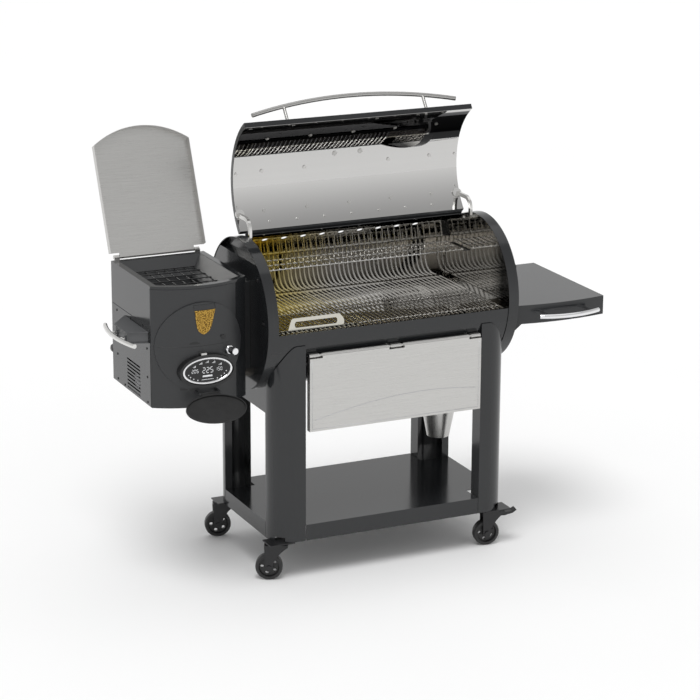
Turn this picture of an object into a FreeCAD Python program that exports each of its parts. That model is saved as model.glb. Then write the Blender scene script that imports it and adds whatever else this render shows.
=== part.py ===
"""Wood pellet grill: a barrel cooker on a four-wheeled cart, with a pellet hopper on its left end.

Millimetres. +X is the grill's right, +Y its back and +Z is up. The sub-parts are drawn in the cart's
own frame, whose zero is on the floor under the middle of the cart, and each one's Placement moves it
by shift_x and shift_y, so that the finished grill stands centred over the origin.
"""
import FreeCAD, Part
import math
import os
import re
import Sketcher
from FreeCAD import Placement, Rotation, Vector

DIMENSIONS = [
    # cart
    ("cart_width", 930, "outside width over the legs"),
    ("cart_depth", 564, "outside depth over the legs"),
    ("leg_wide", 117, "front face of a leg, with its round corner"),
    ("leg_deep", 92, "side face of a leg, with its round corner"),
    ("leg_round", 85, "radius of a leg's outer corner"),
    ("leg_return", 60, "depth of the fold along a leg's inner edge"),
    ("leg_hem", 28, "fold along a leg's side edge"),
    ("leg_gauge", 2, "sheet of the legs and braces"),
    ("caster_high", 143, "floor to the underside of the legs"),
    ("shelf_high", 203, "floor to the top of the bottom shelf"),
    ("skirt_high", 60, "skirt round the bottom shelf"),
    ("brace_low", 613, "lower edge of the side braces"),
    ("leg_top", 872, "top of the rear legs"),
    # casters
    ("caster_x", 438, "swivel axis from the cart's middle"),
    ("caster_y", 245, "swivel axis from the cart's middle"),
    ("caster_trail", 35, "wheel axle behind the swivel axis"),
    ("wheel_radius", 49, "caster wheel"),
    ("wheel_wide", 30, "tread width"),
    ("axle_radius", 5, "caster axle"),
    ("running_fit", 0.06, "radial clearance of a pin or shaft in its hole"),
    ("plate_long", 96, "caster top plate"),
    ("plate_wide", 74, "caster top plate"),
    ("plate_gauge", 4, "caster top plate"),
    ("crown_top", 137, "top of the swivel race"),
    # barrel
    ("barrel_y", -16.5, "barrel axis"),
    ("barrel_z", 938.5, "barrel axis"),
    ("barrel_radius", 274, "outside of the lid and the end bands"),
    ("barrel_half", 493.5, "barrel's middle to its end"),
    ("band_wide", 40, "end band"),
    ("barrel_gauge", 2.5, "sheet of the barrel"),
    ("wall_in", 468, "barrel's middle to an end wall's inner face"),
    ("shell_radius", 271.2, "outside of the fixed shell, inside the bands"),
    ("shell_start", 100, "angle of the shell's top edge, 0 at the front and 90 on top"),
    ("shell_finish", 355.6, "angle of the shell's front lip"),
    ("vent_angle", 127.4, "angle of the row of exhaust vents"),
    ("vent_pitch", 76, "exhaust vents"),
    ("vent_radius", 11, "exhaust vents"),
    ("cover_top", 1150, "straight top edge of the left end's cover plate"),
    # lid
    ("lid_half", 449, "lid's middle to its end"),
    ("lid_low", -3, "angle of the lid's front lip when closed"),
    ("lid_high", 96.5, "angle of the lid's rear edge when closed"),
    ("liner_radius", 256, "outside of the lid's liner"),
    ("liner_gauge", 1.5, "sheet of the liner"),
    ("hinge_y", 45, "lid hinge axis"),
    ("hinge_z", 1188, "lid hinge axis"),
    ("lid_open", 125.5, "how far the lid stands open"),
    ("arm_x", 440, "middle of a hinge arm"),
    ("arm_gauge", 10, "hinge arm along X"),
    ("lid_pin", 5, "hinge pin radius"),
    ("bar_radius", 8, "all the tubular handles"),
    ("lid_bar_half", 402, "half the lid handle's span"),
    ("lid_bar_end", 34, "end of the handle from the lid's face"),
    ("lid_bar_bow", 47, "how much further the handle's middle stands"),
    ("lid_bar_angle", 1, "angle of the handle on the closed lid"),
    ("post_x", 275, "lid handle posts"),
    ("post_radius", 6, "handle posts"),
    # inside the barrel
    ("grate_top", 918, "top of the cooking rods"),
    ("rod_radius", 3, "cooking rods"),
    ("rod_pitch", 18, "cooking rods"),
    ("grate_front", -272, "front ends of the rods"),
    ("grate_back", 238, "rear ends of the rods"),
    ("sear_left", -444, "sear grate"),
    ("sear_right", -131, "sear grate"),
    ("grate_left", -125, "main grate"),
    ("grate_right", 444, "main grate"),
    ("rack_z", 1060, "warming rack"),
    ("rack_front", 72, "warming rack"),
    ("rack_back", 208, "warming rack"),
    ("rack_half", 452, "warming rack"),
    ("pot_x", -290, "burn pot"),
    ("pot_radius", 62, "burn pot"),
    ("pot_low", 680, "burn pot"),
    ("pot_high", 792, "burn pot"),
    ("auger_z", 735, "auger axis"),
    ("tube_start", -792, "left end of the auger tube"),
    ("throat_x", -740, "left end of the pellet throat"),
    ("blower_x", -620, "blower axis"),
    ("blower_z", 760, "blower axis"),
    ("spout_low", 592, "lower end of the grease spout"),
    ("tube_radius", 33, "auger tube"),
    ("tube_gauge", 3, "auger tube"),
    ("auger_radius", 28, "auger flight"),
    ("auger_core", 9, "auger shaft"),
    ("auger_pitch", 46, "auger flight"),
    ("spout_x", 324, "grease spout and bucket"),
    ("spout_radius", 17, "grease spout"),
    ("bucket_low", 366, "bucket's base"),
    ("bucket_high", 178, "bucket"),
    ("bucket_base", 42, "bucket's base radius"),
    ("bucket_mouth", 76, "bucket's mouth radius"),
    ("bail_radius", 2, "bucket's wire handle"),
    ("bail_half", 82.5, "half the wire handle's span"),
    ("bail_rise", 66, "height of the wire handle"),
    ("hook_y", 5.5, "where the wire handle hangs"),
    # hopper
    ("hopper_left", -892, "hopper's left side"),
    ("hopper_right", -538, "hopper's right side"),
    ("hopper_apex", -250, "middle of the hopper's bowed front"),
    ("hopper_back", 196, "hopper's back"),
    ("hopper_low", 687, "hopper's base"),
    ("hopper_top", 1122, "hopper's rim"),
    ("hopper_round", 303, "radius of the hopper's bowed front"),
    ("rim_high", 10, "hopper's rim"),
    ("rim_inset", 22, "hopper's side to the rim's opening"),
    ("hopper_gauge", 2.5, "sheet of the hopper"),
    ("seam_z", 972, "seam across the hopper's left side"),
    ("front_edge", -588, "right edge of the front panel"),
    ("disc_x", -726, "round relief on the front panel"),
    ("disc_z", 905, "round relief on the front panel"),
    ("disc_radius", 158, "round relief on the front panel"),
    ("disc_proud", 6, "round relief on the front panel"),
    ("control_x", -712, "oval control panel"),
    ("control_z", 820, "oval control panel"),
    ("control_long", 104, "half the oval's length"),
    ("control_tall", 59, "half the oval's height"),
    ("flap_y", -282, "control flap hinge axis"),
    ("flap_z", 743, "control flap hinge axis"),
    ("flap_open", 122, "how far the flap hangs open"),
    ("flap_long", 110.5, "half the flap's length"),
    ("flap_tall", 63, "half the flap's height"),
    ("dial_x", -627, "selector dial"),
    ("dial_y", -242.9, "selector dial, where it meets the relief"),
    ("dial_z", 882, "selector dial"),
    ("dial_lean", 17, "how far the dial faces right"),
    ("bezel_front", -272, "front of the oval bezel"),
    ("flap_gauge", 7, "control flap"),
    ("flap_pin_radius", 2.5, "control flap's pin"),
    ("hopper_hinge_y", 207, "hopper lid hinge axis"),
    ("hopper_hinge_z", 1130, "hopper lid hinge axis"),
    ("hopper_pin", 4, "hopper lid's hinge rod"),
    ("bin_low", 770, "bottom of the pellet bin"),
    ("bin_step", 1060, "where the pellet bin narrows"),
    ("hopper_lid_open", 113.3, "how far the hopper lid stands open"),
    ("hopper_lid_left", -896, "hopper lid"),
    ("hopper_lid_right", -534, "hopper lid"),
    ("hopper_lid_fold", 25, "fold round the hopper lid"),
    # handles and shelves
    ("handle_x", -968, "ends of the hopper's handle bar"),
    ("handle_bow", 22, "bow of the hopper's handle bar"),
    ("handle_front", -240, "hopper's handle bar"),
    ("handle_back", 58, "hopper's handle bar"),
    ("handle_z", 930, "hopper's handle bar"),
    ("side_left", 496, "side shelf"),
    ("side_right", 863, "side shelf"),
    ("side_half", 265, "half the side shelf's depth"),
    ("side_bow", 18, "bow of the side shelf's front"),
    ("side_top", 916, "side shelf"),
    ("apron_high", 70, "side shelf's apron"),
    ("towel_left", 568, "towel bar"),
    ("towel_right", 811, "towel bar"),
    ("towel_y", -318, "towel bar's ends"),
    ("towel_bow", 26, "bow of the towel bar"),
    ("towel_z", 881, "towel bar"),
    ("front_half", 339, "half the front shelf's width"),
    ("front_high", 268, "front shelf, top to bottom"),
    ("front_thick", 24, "front shelf"),
    ("front_hinge_y", -285, "front shelf hinge axis"),
    ("front_hinge_z", 831, "front shelf hinge axis"),
    ("front_pin", 5, "front shelf hinge rod radius"),
    ("left_reach", 998, "cart's middle to the grill's furthest point on the left"),
    ("right_reach", 863, "cart's middle to the grill's furthest point on the right"),
    ("front_reach", 399.1, "cart's middle to the grill's furthest point in front"),
    ("back_reach", 384.5, "cart's middle to the grill's furthest point behind"),
]

ALIASES = {row[0] for row in DIMENSIONS}
WORD = re.compile(r"[a-z][a-z_]*")
SHIFT_X = "(left_reach - right_reach) / 2"
SHIFT_Y = "(front_reach - back_reach) / 2"
AXES = {"X": Vector(1, 0, 0), "Y": Vector(0, 1, 0), "Z": Vector(0, 0, 1)}
TURNS = {"X": Rotation(AXES["Y"], 90), "Y": Rotation(AXES["X"], -90), "Z": Rotation()}

doc = FreeCAD.newDocument("pellet_grill")
sheet = doc.addObject("Spreadsheet::Sheet", "Sheet")
nodes = []


def fill_sheet():
    """Write each driving dimension with its alias and its meaning on a row of its own."""
    for row, (alias, value, meaning) in enumerate(DIMENSIONS, start=1):
        sheet.set("A%d" % row, meaning)
        sheet.set("B%d" % row, str(value))
        sheet.setAlias("B%d" % row, alias)
    doc.recompute()


# ---------------------------------------------------------------- expressions

def formula(text):
    """Put the sheet's name before each alias in an expression."""
    return WORD.sub(lambda m: "Sheet." + m.group() if m.group() in ALIASES else m.group(), str(text))


def number(text):
    """The present value of an expression."""
    value = sheet.evalExpression(formula(text))
    return float(getattr(value, "Value", value))


def bind(thing, prop, text):
    thing.setExpression(prop, formula(text))


def bind_base(thing, x, y, z):
    for axis, text in zip("xyz", (x, y, z)):
        bind(thing, "Placement.Base." + axis, text)


def polar(cy, cz, radius, angle):
    """A point on a circle in the YZ plane; the angle is 0 at the front and 90 on top."""
    return ("%s - (%s) * cos(%s)" % (cy, radius, angle), "%s + (%s) * sin(%s)" % (cz, radius, angle))


# ---------------------------------------------------------------- primitives

def box(name, x, y, z, dx, dy, dz):
    """A box from its lowest corner and its three sizes."""
    item = doc.addObject("Part::Box", name)
    for prop, text in (("Length", dx), ("Width", dy), ("Height", dz)):
        bind(item, prop, text)
    bind_base(item, x, y, z)
    return item


def rod(name, axis, x, y, z, radius, length):
    """A cylinder from the middle of its first end, along a frame axis."""
    item = doc.addObject("Part::Cylinder", name)
    item.Placement = Placement(Vector(), TURNS[axis])
    bind(item, "Radius", radius)
    bind(item, "Height", length)
    bind_base(item, x, y, z)
    return item


def oval(name, x, y, z, half_long, half_tall, depth):
    """An elliptical block that runs backwards along +Y from a point on its front face."""
    rim = doc.addObject("Part::Ellipse", name + "_rim")
    rim.Placement = Placement(Vector(), Rotation(AXES["X"], 90))
    bind(rim, "MajorRadius", half_long)
    bind(rim, "MinorRadius", half_tall)
    bind_base(rim, x, y, z)
    item = doc.addObject("Part::Extrusion", name)
    item.Base = rim
    item.DirMode = "Custom"
    item.Dir = AXES["Y"]
    bind(item, "LengthFwd", depth)
    item.Solid = True
    return item


def cut(name, base, *tools):
    item = doc.addObject("Part::Cut", name)
    item.Base = base
    item.Tool = tools[0] if len(tools) == 1 else fuse(name + "_tools", *tools)
    return item


def fuse(name, *parts):
    item = doc.addObject("Part::MultiFuse", name)
    item.Shapes = list(parts)
    return item


def common(name, one, other):
    item = doc.addObject("Part::Common", name)
    item.Base = one
    item.Tool = other
    return item


def group(name, *parts):
    """Separate solids kept together."""
    item = doc.addObject("Part::Compound", name)
    item.Links = list(parts)
    return item


# ---------------------------------------------------------------- sketches

def plane_of(body, plane):
    return next(f for f in body.Origin.OriginFeatures if f.Role == plane + "_Plane")


def new_sketch(body, plane, offset="0"):
    sketch = body.newObject("Sketcher::SketchObject", body.Name + "_outline")
    sketch.AttachmentSupport = [(plane_of(body, plane), "")]
    sketch.MapMode = "FlatFace"
    if offset != "0":
        bind(sketch, "AttachmentOffset.Base.z", offset)
    return sketch


def dimension(sketch, kind, where, text):
    """Add a sketch dimension and bind it to its expression."""
    index = sketch.addConstraint(Sketcher.Constraint(kind, *where, number(text)))
    if WORD.search(str(text)):
        sketch.renameConstraint(index, "%s%d" % (kind.lower(), index))
        bind(sketch, "Constraints.%s%d" % (kind.lower(), index), text)


def fix_point(sketch, piece, end, u, v):
    dimension(sketch, "DistanceX", (-1, 1, piece, end), u)
    dimension(sketch, "DistanceY", (-1, 1, piece, end), v)


def short_arc(start, finish, radius):
    """An arc under half a turn; a positive radius turns left from start to finish."""
    chord = finish - start
    middle = (start + finish) * 0.5
    left = Vector(-chord.y, chord.x, 0).normalize()
    rise = math.sqrt(max(radius * radius - chord.Length ** 2 / 4, 0))
    centre = middle + left * math.copysign(rise, radius)
    ends = (start, finish) if radius > 0 else (finish, start)
    angles = [math.atan2(p.y - centre.y, p.x - centre.x) for p in ends]
    return Part.ArcOfCircle(Part.Circle(centre, AXES["Z"], abs(radius)), *angles)


def draw_loop(sketch, points):
    """Close a loop through (u, v) points. A third value is the radius of the side that ends there."""
    spots = [Vector(number(p[0]), number(p[1]), 0) for p in points]
    pieces = []
    for i, point in enumerate(points):
        if len(point) == 2:
            piece = sketch.addGeometry(Part.LineSegment(spots[i - 1], spots[i]))
            pieces.append((piece, 1, 2))
            continue
        turn = number(point[2])
        piece = sketch.addGeometry(short_arc(spots[i - 1], spots[i], turn))
        pieces.append((piece, 1, 2) if turn > 0 else (piece, 2, 1))
        dimension(sketch, "Radius", (piece,), point[2] if turn > 0 else "-(%s)" % point[2])
    for i, (piece, start, finish) in enumerate(pieces):
        before, _, before_finish = pieces[i - 1]
        sketch.addConstraint(Sketcher.Constraint("Coincident", before, before_finish, piece, start))
        fix_point(sketch, piece, finish, points[i][0], points[i][1])


def draw_circle(sketch, u, v, radius):
    spot = Vector(number(u), number(v), 0)
    piece = sketch.addGeometry(Part.Circle(spot, AXES["Z"], number(radius)))
    dimension(sketch, "Radius", (piece,), radius)
    fix_point(sketch, piece, 3, u, v)


def draw(sketch, outline):
    if isinstance(outline, tuple):
        draw_circle(sketch, *outline)
    else:
        draw_loop(sketch, outline)


def slab(name, plane, offset, thick, *outlines):
    """A flat-sided body: outlines drawn on a plane at an offset, padded along the plane's normal.

    The normals are +Z for XY, -Y for XZ and +X for YZ. An outline is a list of points, or one
    (u, v, radius) tuple for a circle; the ones inside the first are holes.
    """
    body = doc.addObject("PartDesign::Body", name)
    sketch = new_sketch(body, plane, offset)
    for outline in outlines:
        draw(sketch, outline)
    pad = body.newObject("PartDesign::Pad", name + "_pad")
    pad.Profile = sketch
    bind(pad, "Length", thick)
    body.Tip = pad
    return body


def turned(name, outline):
    """A body turned about Z from its (radius, height) outline."""
    body = doc.addObject("PartDesign::Body", name)
    sketch = new_sketch(body, "XZ")
    draw(sketch, outline)
    spin = body.newObject("PartDesign::Revolution", name + "_turn")
    spin.Profile = sketch
    spin.ReferenceAxis = (sketch, ["V_Axis"])
    spin.Angle = 360
    body.Tip = spin
    return body


def bowed_bar(name, half_span, bow, radius):
    """A tube bent to a shallow arc along X: its middle at zero and its ends drawn back along +Y."""
    reach = "(((%s) ^ 2 + (%s) ^ 2) / (2 * (%s)))" % (half_span, bow, bow)
    ring = doc.addObject("Part::Torus", name)
    bind(ring, "Radius1", reach)
    bind(ring, "Radius2", radius)
    half_turn = "asin((%s) / %s)" % (half_span, reach)
    bind(ring, "Angle3", "2 * " + half_turn)
    middle = Rotation(AXES["Z"], -90 - number(half_turn))
    ring.Placement = Placement(Vector(), middle)
    bind(ring, "Placement.Base.y", reach)
    return ring


def finish(item, label, x="0", y="0", z="0", turns=()):
    """Name a sub-part, move it from the cart's frame to the grill's and list it for export.

    turns are (axis letter, angle) pairs for a piece drawn about a point of its own; the last acts first.
    """
    item.Label = label
    heading = Rotation()
    for axis, angle in turns:
        heading = heading * Rotation(AXES[axis], number(angle))
    item.Placement = Placement(Vector(), heading)
    bind_base(item, "%s + %s" % (SHIFT_X, x), "%s + %s" % (SHIFT_Y, y), z)
    nodes.append(item)
    return item


def spike(name, x, centre, radius, angle, thick, length):
    """A cylinder that points away from an axis along X: centre is (y, z), radius where it starts."""
    item = doc.addObject("Part::Cylinder", name)
    item.Placement = Placement(Vector(), Rotation(AXES["X"], 90 - number(angle)))
    bind(item, "Radius", thick)
    bind(item, "Height", length)
    bind_base(item, x, *polar(centre[0], centre[1], radius, angle))
    return item


def ring_sector(centre, outer, inner, angles):
    """The outline of a curved sheet in the YZ plane, through the angles given in rising order."""
    points = [polar(*centre, outer, angles[0])]
    points += [polar(*centre, outer, a) + ("-(%s)" % outer,) for a in angles[1:]]
    points += [polar(*centre, inner, angles[-1])]
    points += [polar(*centre, inner, a) + (inner,) for a in reversed(angles[:-1])]
    return points


BARREL = ("barrel_y", "barrel_z")
CORNERS = {"front_left": (-1, -1), "front_right": (1, -1), "rear_left": (-1, 1), "rear_right": (1, 1)}
HEADINGS = {"front_left": 155, "front_right": 170, "rear_left": 165, "rear_right": 165}


def barrel_space(name):
    """The whole cylinder that the barrel fills, for trimming what is welded against it."""
    return rod(name, "X", "-cart_width", "barrel_y", "barrel_z", "barrel_radius + 0.3", "2 * cart_width")


# ---------------------------------------------------------------- cart

def leg(corner, sx, sy):
    """A folded sheet post with a round outer corner, trimmed to the barrel."""
    def at(u, w):
        return ("%d * (cart_width / 2 - (%s))" % (sx, u), "%d * (cart_depth / 2 - (%s))" % (sy, w))

    turn = -sx * sy
    outline = [
        at("leg_wide", "leg_return"),
        at("leg_wide", "0"),
        at("leg_round", "0"),
        at("0", "leg_round") + ("%d * leg_round" % turn,),
        at("0", "leg_deep"),
        at("leg_hem", "leg_deep"),
        at("leg_hem", "leg_deep - leg_gauge"),
        at("leg_gauge", "leg_deep - leg_gauge"),
        at("leg_gauge", "leg_round"),
        at("leg_round", "leg_gauge") + ("%d * (leg_round - leg_gauge)" % -turn,),
        at("leg_wide - leg_gauge", "leg_gauge"),
        at("leg_wide - leg_gauge", "leg_return"),
    ]
    name = "leg_" + corner
    post = slab(name + "_post", "XY", "caster_high", "leg_top - caster_high", outline)
    notch = box(name + "_notch", "%d * (cart_width / 2 - 27) - 14" % sx, "%d * (cart_depth / 2 - 15) - 28" % sy,
                "caster_high - 1", "28", "56", "19")
    finish(cut(name, post, barrel_space(name + "_barrel"), notch), name)


def bottom_shelf():
    """A pan with a skirt, notched at its corners for the legs."""
    pan = box("shelf_pan", "-cart_width / 2", "-cart_depth / 2", "shelf_high - skirt_high",
              "cart_width", "cart_depth", "skirt_high")
    hollow = box("shelf_hollow", "-cart_width / 2 + leg_gauge", "-cart_depth / 2 + leg_gauge",
                 "shelf_high - skirt_high - 1", "cart_width - 2 * leg_gauge", "cart_depth - 2 * leg_gauge",
                 "skirt_high + 1 - leg_gauge")
    notches = []
    for corner, (sx, sy) in CORNERS.items():
        notches.append(box("shelf_notch_" + corner, "%d * (cart_width - leg_wide) / 2 - leg_wide / 2 - 2" % sx,
                           "%d * (cart_depth - leg_deep) / 2 - leg_deep / 2 - 2" % sy,
                           "shelf_high - skirt_high - 1", "leg_wide + 4", "leg_deep + 4", "skirt_high + 2"))
    finish(cut("bottom_shelf", pan, hollow, *notches), "bottom_shelf")


def leg_braces():
    """Plates between the front and rear legs on each side, cut to the barrel's curve."""
    half = "(cart_depth / 2 - leg_deep - 0.5)"
    plates = []
    for side, x in (("left", "-cart_width / 2"), ("right", "cart_width / 2 - leg_gauge")):
        plate = box("brace_blank_" + side, x, "-" + half, "brace_low", "leg_gauge", "2 * " + half, "180")
        plates.append(cut("brace_" + side, plate, barrel_space("brace_barrel_" + side)))
    finish(group("leg_braces", *plates), "leg_braces")


def caster_plates():
    """The casters' top plates with their king pins."""
    plates = []
    for corner, (sx, sy) in CORNERS.items():
        x = "%d * caster_x" % sx
        y = "%d * caster_y" % sy
        plate = box("plate_" + corner, x + " - plate_long / 2", y + " - plate_wide / 2",
                    "caster_high - plate_gauge", "plate_long", "plate_wide", "plate_gauge")
        pin = rod("king_pin_" + corner, "Z", x, y, "crown_top - 17", "8", "caster_high - crown_top + 14")
        plates.append(fuse("caster_plate_" + corner, plate, pin))
    finish(group("caster_plates", *plates), "caster_plates")


def caster_fork(corner, x, y, heading):
    """Drawn about the swivel axis with its axle on the -X side."""
    name = "caster_fork_" + corner
    back = "-caster_trail - 17"
    cheek = [
        (back, "crown_top - 5"),
        ("33", "crown_top - 5"),
        ("33", "crown_top - 13"),
        ("-caster_trail + 15", "wheel_radius + 12", "120"),
        ("-caster_trail + 15", "wheel_radius"),
        ("-caster_trail", "wheel_radius - 15", "-15"),
        ("-caster_trail - 15", "wheel_radius", "-15"),
    ]
    parts = [slab(name + "_near", "XZ", "18", "3", cheek), slab(name + "_far", "XZ", "-21", "3", cheek)]
    parts.append(box(name + "_crown", back, "-21", "crown_top - 8", "caster_trail + 50", "42", "3"))
    parts.append(rod(name + "_race", "Z", "0", "0", "crown_top - 8", "22", "8"))
    bore = rod(name + "_bore", "Z", "0", "0", "crown_top - 20", "8 + running_fit", "30")
    eye = rod(name + "_eye", "Y", "-caster_trail", "-30", "wheel_radius", "axle_radius + running_fit", "60")
    fork = cut(name + "_sheet", fuse(name + "_blank", *parts), bore, eye)
    axle = rod(name + "_axle", "Y", "-caster_trail", "-25.5", "wheel_radius", "axle_radius", "51")
    head = rod(name + "_head", "Y", "-caster_trail", "-25.5", "wheel_radius", "8.5", "4")
    nut = rod(name + "_nut", "Y", "-caster_trail", "21.5", "wheel_radius", "8.5", "4")
    bolt = fuse(name + "_bolt", axle, head, nut)
    finish(group(name, fork, bolt), name, x, y, "0", [("Z", "%s - 180" % heading)])


def caster_wheel(corner, x, y, heading):
    """Turned about its own axle: hub, web with five windows, and tread."""
    half = "wheel_wide / 2"
    outline = [
        ("axle_radius + running_fit", "-17"), ("15", "-17"), ("16", "-6"), ("34", "-6"), ("37", "-" + half),
        ("wheel_radius - 4", "-" + half), ("wheel_radius", "-%s + 5" % half), ("wheel_radius", half + " - 5"),
        ("wheel_radius - 4", half), ("37", half), ("34", "6"), ("16", "6"), ("15", "17"),
        ("axle_radius + running_fit", "17"),
    ]
    name = "caster_wheel_" + corner
    windows = []
    for i in range(5):
        windows.append(rod("%s_window_%d" % (name, i), "Z", "25 * cos(%d)" % (72 * i), "25 * sin(%d)" % (72 * i),
                           "-8", "6.5", "16"))
    wheel = cut(name, turned(name + "_blank", outline), *windows)
    finish(wheel, name, "%s + caster_trail * cos(%s)" % (x, heading), "%s + caster_trail * sin(%s)" % (y, heading),
           "wheel_radius", [("Z", heading), ("X", "-90")])


def brake_lever(corner, x, y, heading):
    """The foot pedal between the fork's cheeks, opposite the wheel."""
    name = "brake_lever_" + corner
    outline = [
        ("10", "113"), ("34", "111"), ("66", "118"), ("81", "129"), ("76", "135.5"), ("62", "126"),
        ("34", "123.5"), ("10", "124"),
    ]
    pedal = slab(name + "_pedal", "XZ", "-13", "26", outline)
    pivot = rod(name + "_pivot", "Y", "20", "-17.6", "118", "3", "35.2")
    finish(fuse(name, pedal, pivot), name, x, y, "0", [("Z", "%s - 180" % heading)])


def casters():
    for corner, (sx, sy) in CORNERS.items():
        place = ("%d * caster_x" % sx, "%d * caster_y" % sy, str(HEADINGS[corner]))
        caster_fork(corner, *place)
        caster_wheel(corner, *place)
        if sx > 0:
            brake_lever(corner, *place)


# ---------------------------------------------------------------- barrel

def barrel_shell():
    """The fixed part of the barrel, with the ledges that carry the grates and a row of vents."""
    inner = "shell_radius - barrel_gauge"
    outline = ring_sector(BARREL, "shell_radius", inner, ["shell_start", "180", "270", "shell_finish"])
    shell = slab("shell_sheet", "YZ", "-wall_in + 1", "2 * wall_in - 2", outline)
    ledge = ("grate_top - 2 * rod_radius - 3.2", "880", "19.5", "3")
    front = box("shell_front_ledge", "-440", "barrel_y - 268", ledge[0], *ledge[1:])
    back = box("shell_back_ledge", "-440", "barrel_y + 248", ledge[0], *ledge[1:])
    holes = []
    for i in range(-4, 5):
        holes.append(spike("vent_%d" % (i + 4), "%d * vent_pitch - 16" % i, BARREL, "shell_radius - 20",
                           "vent_angle", "vent_radius", "40"))
    holes.append(rod("shell_drain", "Z", "spout_x", "barrel_y", "barrel_z - shell_radius - 10",
                     "spout_radius - 3", "30"))
    finish(cut("barrel_shell", fuse("shell_body", shell, front, back), *holes), "barrel_shell")


def end_cap(side, sx):
    """A drum end: outer band, recessed wall and a shelf for the warming rack."""
    name = "end_cap_" + side
    low = "barrel_half - band_wide" if sx > 0 else "-barrel_half"
    wall = "wall_in" if sx > 0 else "-wall_in - barrel_gauge"
    bore = "barrel_radius - barrel_gauge"
    outer = rod(name + "_outer", "X", low, "barrel_y", "barrel_z", "barrel_radius", "band_wide")
    hollow = rod(name + "_hollow", "X", low + " - 1", "barrel_y", "barrel_z", bore, "band_wide + 2")
    band = cut(name + "_band", outer, hollow)
    disc = rod(name + "_disc", "X", wall, "barrel_y", "barrel_z", bore + " + 0.5", "barrel_gauge")
    ledge = box(name + "_ledge", "wall_in - 15" if sx > 0 else "-wall_in - 1", "rack_front", "rack_z - 11",
                "16", "rack_back - rack_front", "2.5")
    parts = [band, disc, ledge]
    if sx > 0:
        finish(fuse(name, *parts), name)
        return
    cover = rod(name + "_cover", "X", "-barrel_half + 2", "barrel_y", "barrel_z", bore + " + 0.5", "2")
    above = box(name + "_above", "-barrel_half", "-400", "cover_top", "10", "800", "300")
    fold = box(name + "_fold", "-barrel_half + 2", "-barrel_radius * 0.58 + barrel_y", "cover_top - 2",
               "barrel_half - wall_in - 1", "barrel_radius * 1.16", "2")
    parts += [cut(name + "_plate", cover, above), fold]
    hole = rod(name + "_hole", "X", "-barrel_half - 5", "barrel_y", "auger_z", "tube_radius + 0.3", "60")
    finish(cut(name, fuse(name + "_blank", *parts), hole), name)


def grate(name, left, right):
    """Cooking rods that run front to back, welded across bars under them."""
    count = int((number(right) - number(left)) / number("rod_pitch"))
    step = "((%s) - (%s) - 2 * rod_radius) / %d" % (right, left, count)
    parts = []
    for i in range(count + 1):
        parts.append(rod("%s_rod_%d" % (name, i), "Y", "%s + rod_radius + %d * %s" % (left, i, step), "grate_front",
                         "grate_top - rod_radius", "rod_radius", "grate_back - grate_front"))
    for i, y in enumerate(("-215", "barrel_y", "182")):
        parts.append(rod("%s_bar_%d" % (name, i), "X", left, y, "grate_top - 2 * rod_radius - 2.8", "4",
                         "(%s) - (%s)" % (right, left)))
    return fuse(name, *parts)


def sear_grate():
    """The small grate over the burn pot, with its lifting plate standing across the rods."""
    low = "grate_top - 0.5"
    plate = [
        ("sear_left + 3", low), ("sear_right - 3", low), ("sear_right - 3", "grate_top + 6"),
        ("sear_right - 62", "grate_top + 8"), ("sear_right - 72", "grate_top + 42", "28"),
        ("sear_right - 84", "grate_top + 50", "12"), ("sear_left + 60", "grate_top + 50"),
        ("sear_left + 48", "grate_top + 42", "12"), ("sear_left + 38", "grate_top + 8"),
        ("sear_left + 3", "grate_top + 6"),
    ]
    slot = [
        ("sear_right - 92", "grate_top + 15"), ("sear_right - 92", "grate_top + 37", "14"),
        ("sear_left + 68", "grate_top + 37"), ("sear_left + 68", "grate_top + 15", "14"),
    ]
    handle = slab("sear_handle", "XZ", "258", "3", plate, slot)
    finish(fuse("sear_grate", grate("sear_rods", "sear_left", "sear_right"), handle), "sear_grate")


def warming_rack():
    """Thin wires front to back on two long wires, high at the back of the barrel."""
    parts = []
    count = 36
    for i in range(count + 1):
        parts.append(rod("rack_wire_%d" % i, "Y", "-rack_half + 8 + %d * (2 * rack_half - 16) / %d" % (i, count),
                         "rack_front - 4", "rack_z", "2.2", "rack_back - rack_front + 8"))
    for i, y in enumerate(("rack_front", "(rack_front + rack_back) / 2", "rack_back")):
        parts.append(rod("rack_rail_%d" % i, "X", "-rack_half", y, "rack_z - 4.6", "3", "2 * rack_half"))
    finish(fuse("warming_rack", *parts), "warming_rack")


def grease_tray():
    """A shallow tilted pan under the main grate that drains over the spout."""
    pan = box("tray_pan", "-272", "-200", "0", "546", "390", "16")
    hollow = box("tray_hollow", "-270", "-198", "2", "542", "386", "20")
    drain = rod("tray_drain", "Z", "spout_x - 162", "0", "-5", "10", "20")
    finish(cut("grease_tray", pan, hollow, drain), "grease_tray", "162", "0", "804", [("Y", "2.5")])


def flame_deflector():
    """A slotted plate with turned-down edges over the burn pot."""
    plate = box("deflector_plate", "pot_x - 148", "-205", "835", "296", "375", "14")
    under = box("deflector_under", "pot_x - 149", "-203", "834", "298", "371", "13")
    slots = []
    for i in range(6):
        slots.append(box("deflector_slot_%d" % i, "pot_x - 100", "%d" % (-165 + 56 * i), "830", "200", "12", "25"))
    finish(cut("flame_deflector", plate, under, *slots), "flame_deflector")


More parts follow.
